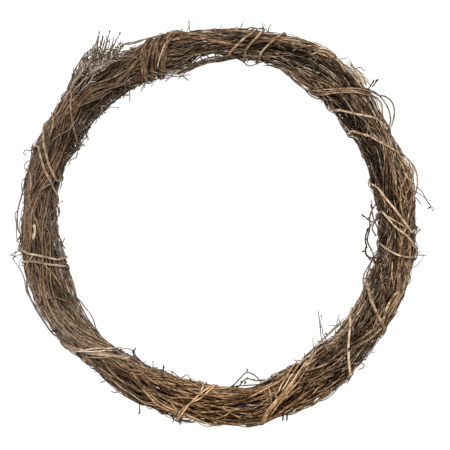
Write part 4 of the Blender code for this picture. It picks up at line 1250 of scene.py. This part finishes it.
drawnVines = {  # placed one by one: half thickness in mm, tint, then x, y, x, y along it in the picture
    "binderTan": (
        (0.7, 0.5, 318, 91, 332, 91, 350, 90, 364, 91, 378, 96),
        (0.9, 0.46, 336, 59, 330, 53, 322, 49, 311, 47, 300, 49, 292, 52),
        (0.7, 0.52, 333, 57, 326, 54, 318, 54, 310, 56),
        (0.8, 0.8, 178, 419, 183, 411, 190, 402, 198, 394, 206, 388, 213, 384),
        (1.0, 0.66, 385, 216, 393, 221, 400, 225, 406, 229),
        (0.8, 0.72, 270, 414, 278, 402, 287, 391, 296, 381),
        (0.7, 0.88, 277, 392, 281, 383, 287, 374, 293, 365, 299, 359),
        (0.7, 0.98, 281, 389, 286, 381, 291, 373, 297, 365, 303, 358),
        (0.6, 0.86, 287, 386, 293, 377, 299, 368, 306, 359), (0.9, 0.66, 170, 398, 174, 404, 179, 410),
        (0.7, 0.86, 71, 351, 80, 350, 95, 350, 108, 349, 119, 350),
        (0.8, 0.84, 84, 349, 97, 347, 112, 347, 122, 347),
        (0.9, 0.52, 89, 356, 104, 356, 117, 355, 125, 358, 134, 360),
        (0.8, 0.52, 36, 254, 31, 261, 27, 270), (0.8, 0.78, 166, 45, 163, 53, 160, 61, 158, 69),
        (0.6, 0.86, 346, 61, 351, 66, 356, 72, 361, 79, 366, 87),
        (0.5, 0.8, 348, 68, 352, 75, 357, 83, 361, 89), (0.5, 0.75, 351, 71, 356, 78, 359, 86),
        (0.9, 0.7, 317, 49, 324, 50, 331, 53, 336, 58), (0.8, 0.64, 315, 52, 323, 53, 330, 56, 335, 60),
        (0.8, 0.58, 316, 55, 324, 57, 331, 60),
    ),
    "barkTan": (
        (0.9, 0.56, 175, 31, 169, 37, 164, 43, 161, 50),
        (1.0, 0.44, 158, 37, 153, 46, 150, 56, 148, 66, 146, 77),
        (0.9, 0.36, 163, 35, 158, 45, 155, 55, 153, 65, 152, 76),
        (0.8, 0.28, 168, 33, 164, 44, 160, 55, 157, 66, 156, 76),
        (0.9, 0.4, 150, 40, 146, 50, 144, 60, 143, 70, 144, 80),
        (0.8, 0.46, 179, 32, 172, 40, 167, 49, 164, 59, 162, 70),
        (1.0, 0.62, 183, 33, 177, 34, 171, 37, 167, 42),
        (0.6, 0.76, 281, 384, 286, 375, 291, 367, 297, 360),
        (0.6, 0.7, 291, 387, 297, 380, 303, 371, 309, 363), (0.6, 0.74, 268, 385, 270, 392, 271, 400),
        (0.6, 0.66, 263, 387, 266, 394, 269, 401), (0.6, 0.6, 272, 383, 275, 391, 276, 398),
        (0.7, 0.56, 276, 404, 284, 396, 291, 391, 300, 384),
        (1.0, 0.46, 282, 69.5, 289, 75, 296, 82.5, 305, 89.5, 315, 94.5),
        (0.9, 0.56, 284, 69, 291, 74.5, 299, 81.5, 308, 88, 318, 93.5),
        (1.0, 0.4, 286, 70, 293, 76, 301, 82.5, 310, 88, 320, 92.5),
        (0.9, 0.6, 288, 71, 296, 77.5, 305, 84.5, 314, 90, 324, 94.5),
        (0.8, 0.35, 291, 72, 299, 79, 307, 85, 316, 91.5), (0.9, 0.7, 52, 112, 55, 120, 54, 129, 52, 137),
        (1.7, 0.86, 36, 224, 37, 231, 35, 240), (1.0, 0.72, 31, 172, 33, 181, 32, 192),
        (1.3, 0.7, 398, 289, 391, 297, 386, 306, 383, 315, 381, 324),
        (1.2, 0.64, 404, 288, 397, 299, 391, 309, 386, 319),
        (0.9, 0.8, 312, 353, 304, 358, 297, 365, 291, 373),
        (0.8, 0.66, 316, 357, 308, 362, 300, 369, 294, 377),
        (0.9, 0.72, 412, 163, 416, 173, 417, 184, 415, 195),
        (0.9, 0.66, 396, 150, 404, 156, 410, 162, 413, 170, 412, 181),
        (0.8, 0.72, 310, 78, 304, 74, 297, 70), (0.9, 0.62, 322, 53, 330, 58, 338, 63, 344, 71),
        (0.9, 0.6, 352, 70, 357, 77, 361, 86), (0.8, 0.62, 356, 69, 362, 77, 366, 87),
        (0.9, 0.66, 376, 97, 381, 104, 382, 112, 379, 121),
        (0.9, 0.55, 131, 357, 139, 367, 150, 377, 160, 384), (0.8, 0.62, 222, 405, 231, 411, 242, 417),
        (0.8, 0.6, 212, 418, 224, 414, 236, 406), (0.9, 0.58, 183, 386, 196, 391, 212, 394, 228, 395),
        (1.0, 0.5, 188, 408, 204, 410, 222, 409), (0.9, 0.6, 365, 300, 359, 310, 352, 320, 347, 330),
        (0.8, 0.66, 352, 312, 357, 303, 362, 296), (0.9, 0.55, 383, 132, 388, 141, 390, 151),
        (0.9, 0.62, 391, 165, 394, 178, 394, 190), (0.9, 0.6, 399, 192, 399, 204, 401, 216),
        (0.8, 0.66, 396, 158, 401, 166, 404, 175, 403, 184),
        (0.7, 0.72, 400, 160, 406, 168, 409, 178, 410, 190),
        (0.7, 0.6, 408, 166, 405, 176, 400, 186, 398, 198),
        (0.7, 0.68, 413, 176, 409, 186, 404, 196, 402, 208),
        (0.7, 0.56, 395, 170, 400, 180, 404, 192, 405, 205),
        (0.7, 0.74, 402, 172, 407, 180, 412, 190, 412, 202), (0.6, 0.64, 411, 196, 406, 204, 400, 210),
        (0.6, 0.6, 396, 186, 401, 196, 408, 204), (0.6, 0.7, 412, 204, 407, 214, 405, 226),
        (0.8, 0.58, 396, 238, 398, 248, 398, 256), (1.2, 0.56, 404, 262, 407, 272, 405, 284),
        (0.9, 0.66, 391, 262, 390, 274, 392, 286), (0.9, 0.6, 41, 259, 49, 267, 57, 277, 64, 288),
        (0.8, 0.66, 40, 284, 42, 294, 41, 304), (1.0, 0.52, 47, 290, 56, 302, 64, 312, 76, 322),
        (0.9, 0.62, 66, 280, 70, 290, 76, 301, 83, 311),
        (0.9, 0.58, 104, 358, 109, 366, 116, 374, 126, 382), (0.8, 0.64, 60, 342, 70, 347, 82, 349),
    ),
    "barkGrey": (
        (0.8, 0.62, 376, 96, 385, 97, 392, 103, 394, 112, 393, 120, 390, 129),
        (0.7, 0.66, 356, 117, 363, 122, 366, 131, 364, 139), (0.6, 0.7, 96, 58, 97, 50, 97, 43, 98, 36),
        (0.6, 0.5, 100, 57, 103, 48, 105, 40), (0.6, 0.9, 93, 58, 94, 51, 95, 44),
        (0.6, 0.8, 102, 57, 106, 48, 107, 41, 106, 35), (0.6, 0.6, 105, 58, 110, 50, 113, 43, 114, 37),
        (0.6, 0.85, 107, 57, 111, 51, 115, 44, 116, 39), (0.6, 0.6, 109, 58, 114, 51, 119, 45, 122, 41),
        (0.6, 0.8, 111, 57, 117, 52, 123, 48), (0.6, 0.7, 91, 60, 92, 54, 93, 48),
        (0.6, 0.9, 103, 55, 101, 47, 102, 40), (0.5, 1.0, 82, 74, 85, 67, 88, 61),
        (0.5, 0.95, 88, 72, 91, 65, 94, 59), (0.5, 1.0, 97, 68, 99, 61, 101, 55),
        (0.5, 0.95, 92, 68, 96, 62, 100, 58), (0.5, 1.0, 103, 66, 105, 60, 108, 54),
        (0.5, 0.95, 110, 64, 113, 59, 117, 54), (0.5, 1.0, 115, 60, 120, 56, 125, 52),
        (0.5, 0.95, 345, 64, 350, 68, 354, 74, 358, 81), (0.5, 0.9, 349, 64, 355, 69, 361, 76, 368, 85),
        (0.5, 0.85, 354, 68, 360, 73, 366, 80, 370, 88), (0.5, 0.98, 363, 77, 365, 83, 366, 88),
        (0.5, 0.92, 358, 74, 361, 81, 363, 88), (0.8, 0.6, 371, 262, 367, 274, 364, 285, 365, 296),
        (0.7, 0.62, 369, 264, 370, 275, 368, 287), (0.7, 0.4, 378, 214, 374, 222, 372, 229, 376, 236),
        (0.7, 0.3, 379, 244, 377, 251, 378, 258), (0.8, 0.62, 284, 70, 290, 78, 298, 85, 308, 91, 318, 93),
        (0.7, 0.5, 296, 70, 302, 77, 310, 83, 318, 87), (0.8, 0.55, 308, 60, 318, 68, 328, 75, 337, 84),
        (0.8, 0.5, 325, 79, 333, 87, 341, 96), (0.8, 0.62, 363, 120, 368, 130, 370, 141),
        (0.8, 0.66, 351, 97, 357, 106, 362, 117, 365, 129),
        (0.7, 0.74, 359, 96, 366, 104, 372, 114, 376, 126),
        (0.7, 0.6, 341, 98, 347, 106, 352, 115, 355, 127),
        (0.7, 0.7, 364, 127, 370, 134, 378, 141, 388, 146),
        (0.7, 0.62, 373, 146, 377, 155, 379, 166, 382, 178),
        (0.7, 0.72, 318, 66, 327, 72, 335, 79, 341, 88), (0.6, 0.66, 341, 77, 346, 84, 350, 91),
        (0.65, 0.3, 230, 386, 246, 385, 260, 383.5, 270, 380, 278, 378),
        (0.7, 0.62, 118, 43, 127, 45, 137, 43, 147, 39), (0.8, 0.55, 110, 62, 124, 58, 140, 60),
        (0.8, 0.55, 88, 88, 101, 84, 115, 79, 129, 71), (0.8, 0.5, 92, 98, 106, 92, 121, 87, 134, 78),
        (0.8, 0.6, 54, 142, 62, 136, 72, 130, 78, 121), (0.8, 0.45, 78, 110, 90, 104, 102, 99, 113, 92),
        (0.8, 0.6, 42, 191, 48, 187, 54, 184), (0.8, 0.55, 26, 195, 31, 204, 30, 214),
        (0.8, 0.55, 47, 206, 49, 217, 47, 229), (0.9, 0.6, 45, 298, 58, 297, 68, 301),
        (0.9, 0.5, 130, 374, 141, 384, 153, 391, 166, 396), (0.8, 0.62, 246, 403, 260, 403, 273, 401),
        (0.9, 0.5, 240, 414, 254, 415, 266, 412), (0.8, 0.55, 300, 402, 313, 397, 326, 389),
        (0.8, 0.55, 318, 362, 330, 358, 341, 350), (0.8, 0.5, 320, 372, 332, 367, 344, 362),
        (0.8, 0.52, 355, 330, 363, 322, 369, 312), (0.8, 0.6, 371, 200, 372, 215, 378, 230),
        (0.8, 0.5, 369, 160, 373, 175, 380, 190), (0.8, 0.55, 196, 42, 210, 40, 225, 41),
        (0.8, 0.55, 190, 58, 204, 54, 219, 52), (0.8, 0.62, 262, 40, 276, 42, 290, 45),
        (0.8, 0.35, 168, 76, 179, 73, 190, 69, 200, 65.5, 210, 62.8, 222, 61.5, 234, 59.5),
        (0.8, 0.52, 170, 73, 183, 70, 194, 66, 204, 63.5, 214, 61.5, 224, 60, 238, 59),
        (0.9, 0.42, 174, 71, 186, 67, 196, 63.5, 206, 61.5, 216, 59.5, 227, 58, 240, 57.5),
        (0.7, 0.62, 180, 67, 190, 65, 201, 65, 212, 62, 222, 58.5, 232, 56),
        (0.7, 0.3, 184, 63, 194, 64.5, 206, 63, 217, 61, 228, 58.5, 240, 59.5),
        (0.7, 0.55, 176, 75, 187, 72, 196, 68, 205, 65, 214, 62.5),
        (0.5, 0.72, 146, 76, 156, 79.5, 166, 78.5, 176, 76),
        (0.5, 0.62, 150, 72, 162, 75, 174, 73.5, 186, 70),
        (0.5, 0.8, 160, 80.5, 170, 77.5, 182, 76.5, 191, 74),
        (0.5, 0.66, 158, 70, 168, 73, 180, 71, 192, 68), (0.5, 0.74, 165, 82, 172, 76.5, 180, 72),
        (0.5, 0.6, 178, 80, 184, 74.5, 190, 70), (0.7, 0.5, 199, 54, 200.5, 58, 203, 62),
        (0.7, 0.45, 206, 53, 208, 57.5, 212, 61), (0.7, 0.5, 214, 52, 215.5, 56.5, 219, 60),
        (0.7, 0.5, 190, 57, 193, 61, 197, 64), (0.6, 0.48, 288, 66, 296, 70, 304, 77, 311, 84, 318, 91),
        (0.5, 0.85, 329, 325, 336, 325, 344, 321, 352, 314),
        (0.5, 0.95, 318, 343, 327, 336, 336, 328, 344, 320, 351, 311),
        (0.6, 0.75, 20, 208, 16, 213, 17, 225, 18, 240, 23, 247), (0.6, 0.8, 22, 250, 16, 252, 10, 256),
        (0.6, 0.7, 19, 250, 14, 259, 20, 268, 25, 280, 27, 292, 33, 302, 40, 312, 47, 321),
        (0.6, 0.55, 66, 285, 70, 292, 78, 298, 86, 308, 92, 316, 94, 321, 97, 330),
        (0.5, 0.6, 56, 331, 59, 335, 62, 343, 68, 349),
        (0.6, 0.7, 68, 347, 72, 351, 80, 357, 88, 364, 93, 366),
        (0.5, 0.6, 112, 349, 118, 349, 126, 348, 132, 350, 135, 356),
        (0.4, 0.95, 350, 312, 341, 320, 331, 330, 322, 340, 310, 351),
        (0.5, 0.62, 412, 186, 420, 190, 426, 200, 430, 206, 435, 210),
        (0.5, 0.6, 412, 255, 418, 255, 427, 255), (0.5, 0.62, 130, 78, 130, 90, 130, 103),
        (0.5, 0.55, 74, 143, 82, 145, 86, 146), (0.5, 0.62, 60, 170, 62, 178, 62, 186, 60, 190),
        (0.7, 0.42, 229, 387, 234, 384, 240, 378, 247, 372, 253, 374, 258, 378, 263, 384),
        (0.5, 0.7, 336, 64, 340, 60, 349, 58), (0.5, 0.6, 349, 60, 352, 67, 354, 75),
    ),
    "twigDark": (
        (0.5, 0.55, 35, 149, 30, 151, 26, 150, 24, 153, 27, 156),
        (0.5, 0.6, 33, 160, 28, 162, 25, 165, 25, 168, 29, 171),
        (0.5, 0.55, 32, 176, 28, 178, 24, 180, 23, 190, 26, 196), (0.6, 0.25, 60, 329, 57, 330, 50, 331),
        (0.6, 0.25, 141, 400, 140, 406, 140, 413), (0.6, 0.3, 175, 414, 173, 422),
        (0.7, 0.2, 181, 414, 180, 424), (0.8, 0.15, 283, 409, 282.5, 420.5),
        (0.8, 0.15, 287, 409, 286.5, 420.5), (0.5, 0.45, 104, 376, 107, 379, 100, 382),
        (0.5, 0.45, 122, 390, 115, 392, 111, 391), (0.7, 0.25, 135, 358, 134, 352, 136, 347),
        (0.6, 0.4, 164, 378, 163, 372, 164, 366), (0.5, 0.45, 181, 378, 176, 374, 170, 370),
        (0.5, 0.45, 193, 386, 192, 381, 190, 377), (0.5, 0.45, 322, 342, 321, 337, 320, 327, 318, 310),
        (0.4, 0.75, 313, 356, 313, 348, 312.5, 337), (0.4, 0.7, 336, 326, 337, 320, 340, 313),
        (0.6, 0.4, 95, 66, 97, 55, 98, 45, 99.5, 33), (0.6, 0.5, 101, 62, 104, 52, 107, 42, 110, 32),
        (0.5, 0.6, 108, 60, 112, 50, 116, 42, 120, 34), (0.5, 0.45, 98, 50, 102, 44, 103, 38),
        (0.5, 0.55, 93, 60, 95, 50, 97, 40), (0.5, 0.5, 99, 58, 101, 47, 103, 36),
        (0.5, 0.4, 103, 58, 106, 48, 108, 39), (0.5, 0.55, 106, 62, 110, 52, 114, 44),
        (0.5, 0.5, 114, 58, 118, 50, 123, 45), (0.5, 0.6, 101, 54, 98, 47, 99, 41),
        (0.5, 0.45, 104, 53, 109, 47, 110, 40), (0.5, 0.55, 97, 58, 93, 50, 94, 44),
        (0.5, 0.5, 112, 51, 117, 48, 121, 43), (0.6, 0.55, 90, 70, 97, 66, 106, 61, 116, 57, 126, 51),
        (0.6, 0.45, 84, 74, 92, 71, 101, 66, 112, 62, 122, 58),
        (0.6, 0.55, 80, 72, 86, 64, 93, 58, 101, 54), (0.6, 0.6, 78, 66, 83, 57, 90, 51, 96, 47),
        (0.5, 0.4, 356, 360, 360, 362, 364, 365, 362, 368, 357, 369),
        (0.8, 0.45, 384, 210, 379, 213, 376, 220, 372, 222, 367, 219, 364, 216),
        (0.8, 0.4, 372, 223, 367, 231, 365, 240, 367, 248),
        (1.0, 0.4, 384, 255, 378, 257, 372, 258, 367, 256, 365, 251, 366, 246),
        (0.8, 0.35, 384, 262, 376, 261, 370, 260, 367, 255), (0.5, 0.45, 412, 196, 417, 200, 421, 205),
        (0.5, 0.4, 187, 31, 189, 27, 189, 20), (0.7, 0.2, 366, 92, 370, 86, 372, 83),
        (0.7, 0.2, 371, 88, 375, 83, 376, 80), (0.5, 0.45, 354, 70, 360, 68, 365, 72),
        (0.5, 0.45, 240, 32, 241, 27, 243, 23), (0.5, 0.45, 268, 33, 269, 28, 271, 24),
        (0.5, 0.45, 240, 58, 248, 66, 258, 64), (0.5, 0.4, 78, 151, 76, 158, 71, 160, 69, 166),
        (0.5, 0.45, 131, 74, 126, 84, 127, 92), (0.5, 0.45, 172, 74, 181, 76, 189, 81),
        (0.5, 0.5, 150, 78, 160, 76, 170, 77),
    ),
}
drawnBuds = (  # x and y of each bud's foot and of its tip in the picture, and its half thickness in mm
    (247, 371, 247, 368, 0.9), (246, 381, 244, 384, 1.0), (134, 353, 133, 350, 1.1),
    (164, 368, 164, 364, 1.0), (320, 328, 320, 325, 0.9), (367, 232, 367, 228, 1.0),
    (366, 246, 365, 250, 1.0), (371, 208, 370, 204, 0.9), (430, 207, 427, 209, 0.9),
    (414, 226, 417, 228, 0.9), (372, 84, 373, 80, 1.0), (376, 82, 378, 79, 1.0), (347, 349, 348, 345, 1.3),
    (57, 330, 54, 331, 1.2), (364, 217, 361, 214, 1.0), (140, 411, 139, 414, 0.9),
    (364, 251, 361, 252, 0.9), (99.5, 34, 99.5, 31.5, 0.9), (110, 33, 110, 30.5, 0.9),
    (120, 35, 120.5, 32.5, 0.9), (103, 39, 103.5, 36.5, 0.8),
)
topVines = {
    "spacing": 1.6,  # mm from station to station
    "fewest": 8,
    "sides": 7,
    "window": 9,
    "seat": 0.35,
    "sunk": 1.8,  # mm at the ends of one that lies on the wreath, over so many stations
    "endStations": 4,
    "taper": 0.1,
    "lumps": ((3, 7, 12), 0.07),
    "lumpStep": 6.0,
    "budTint": 0.12,
    "seed": 18,
}


def upperSide(line):
    # the height of the wreath so far over each place, or of a free vine beside it
    row, column = topCells(line[:, 0], line[:, 1])
    height = widened(topMap)[row, column]
    return np.where(height > 0, height, ring["freeLevel"]), height > 0


def layOnTop(spots, radius):
    # a smooth line through the places, as high as the wreath's upper side, with its ends sunk in by a square
    flat = fromPicture(spots)
    length = np.linalg.norm(np.diff(flat, axis=0), axis=1).sum()
    stations = max(topVines["fewest"], int(length / (topVines["spacing"] * mm)))
    line = smoothLine(flat, stations)
    height, held = upperSide(line)
    height = smoothAlong(height[None], topVines["window"], greatest=1)[0]
    fromEnd = np.minimum(np.arange(stations), np.arange(stations)[::-1])
    end = np.clip(fromEnd / topVines["endStations"], 0, 1)
    sunk = (1 - end) ** 2 * topVines["sunk"] * mm * held
    return np.column_stack((line, height + topVines["seat"] * radius - sunk))[None]


def makeTopBuds(rng):
    # from foot to tip on the level, as high as the wreath's upper side at the foot
    rows = np.array(drawnBuds)
    feet, tips = fromPicture(rows[:, :2]), fromPicture(rows[:, 2:4])
    level = upperSide(feet)[0]
    feet, tips = np.column_stack((feet, level)), np.column_stack((tips, level))
    ways = tips - feet
    length = np.linalg.norm(ways, axis=1)
    return makeBuds(rng, feet, ways / length[:, None], length, rows[:, 4] * mm, topVines["budTint"])


def makeDrawnVines():
    # each lies over what the ones before it cover
    rng = np.random.default_rng(topVines["seed"])
    for bark, vines in drawnVines.items():
        parts = []
        for radius, tint, *spots in vines:
            paths = layOnTop(np.reshape(spots, (-1, 2)), radius * mm)
            along = np.arange(paths.shape[1])[None] * topVines["lumpStep"]
            radii = girthAlong(rng, topVines, radius * mm, along)
            cover(paths, radii)
            parts.append(tubes(rng, paths, radii, topVines["sides"], np.full(1, tint)))
        if bark == "twigDark":
            parts.append(makeTopBuds(rng))
        addPiece(f"single_vines_{barks[bark]['slot']}", parts, bark)


makeDrawnVines()
makeEdgeFibres()
makeEdgeStems()
print("single vines laid")


# Floor, light and camera

studio = {
    "floorSize": 6.0,
    "floorLevel": -0.0002,
    "floorColour": 0.14,
    "floorGlow": 0.93,
    "worldLight": 0.22,
    "softbox": {"place": (-0.2, 0.8, 1.65), "size": 1.0, "power": 58.0},
    "fill": {"place": (0.5, -0.6, 1.6), "size": 1.4, "power": 12.0},
    "cameraSpot": (0.0004, -0.0013),
    "cameraHeight": 1.6,
    "frameWidth": 0.450,  # seen at the ring's level
    "ringLevel": 0.021,
    "sensor": 36.0,
    "clip": (0.01, 20.0),
}


def makeStudio():
    # the lens is the sensor's width times the distance to the ring's level, over the width seen there
    half = studio["floorSize"] / 2
    mesh = bpy.data.meshes.new("floor")
    corners = [(-half, -half, 0), (half, -half, 0), (half, half, 0), (-half, half, 0)]
    mesh.from_pydata(corners, [], [(0, 1, 2, 3)])
    floor = addObject("floor", mesh)
    floor.location.z = studio["floorLevel"]
    paper, _, shader = newMaterial("whitePaper")
    shader.inputs["Base Color"].default_value = (*[studio["floorColour"]] * 3, 1)
    shader.inputs["Roughness"].default_value = 1.0
    shader.inputs["Emission Color"].default_value = (1, 1, 1, 1)
    shader.inputs["Emission Strength"].default_value = studio["floorGlow"]
    mesh.materials.append(paper)

    world = bpy.data.worlds.new("studio")
    bpy.context.scene.world = world
    world.use_nodes = True
    background = world.node_tree.nodes["Background"]
    background.inputs["Color"].default_value = (1, 1, 1, 1)
    background.inputs["Strength"].default_value = studio["worldLight"]

    for name in ("softbox", "fill"):
        look = studio[name]
        lamp = bpy.data.lights.new(name, "AREA")
        lamp.size, lamp.energy = look["size"], look["power"]
        light = addObject(name, lamp)
        light.location = look["place"]
        light.rotation_euler = (-Vector(look["place"])).to_track_quat("-Z", "Y").to_euler()

    view = bpy.data.cameras.new("camera")
    view.sensor_width = studio["sensor"]
    view.lens = studio["sensor"] * (studio["cameraHeight"] - studio["ringLevel"]) / studio["frameWidth"]
    view.clip_start, view.clip_end = studio["clip"]
    camera = addObject("camera", view)
    camera.location = (*studio["cameraSpot"], studio["cameraHeight"])
    bpy.context.scene.camera = camera
    bpy.context.scene.view_settings.view_transform = "Standard"


makeStudio()
print("studio set")

meshes = [obj.data for obj in bpy.data.objects if obj.type == "MESH"]
print("faces in all", sum(len(mesh.polygons) for mesh in meshes))
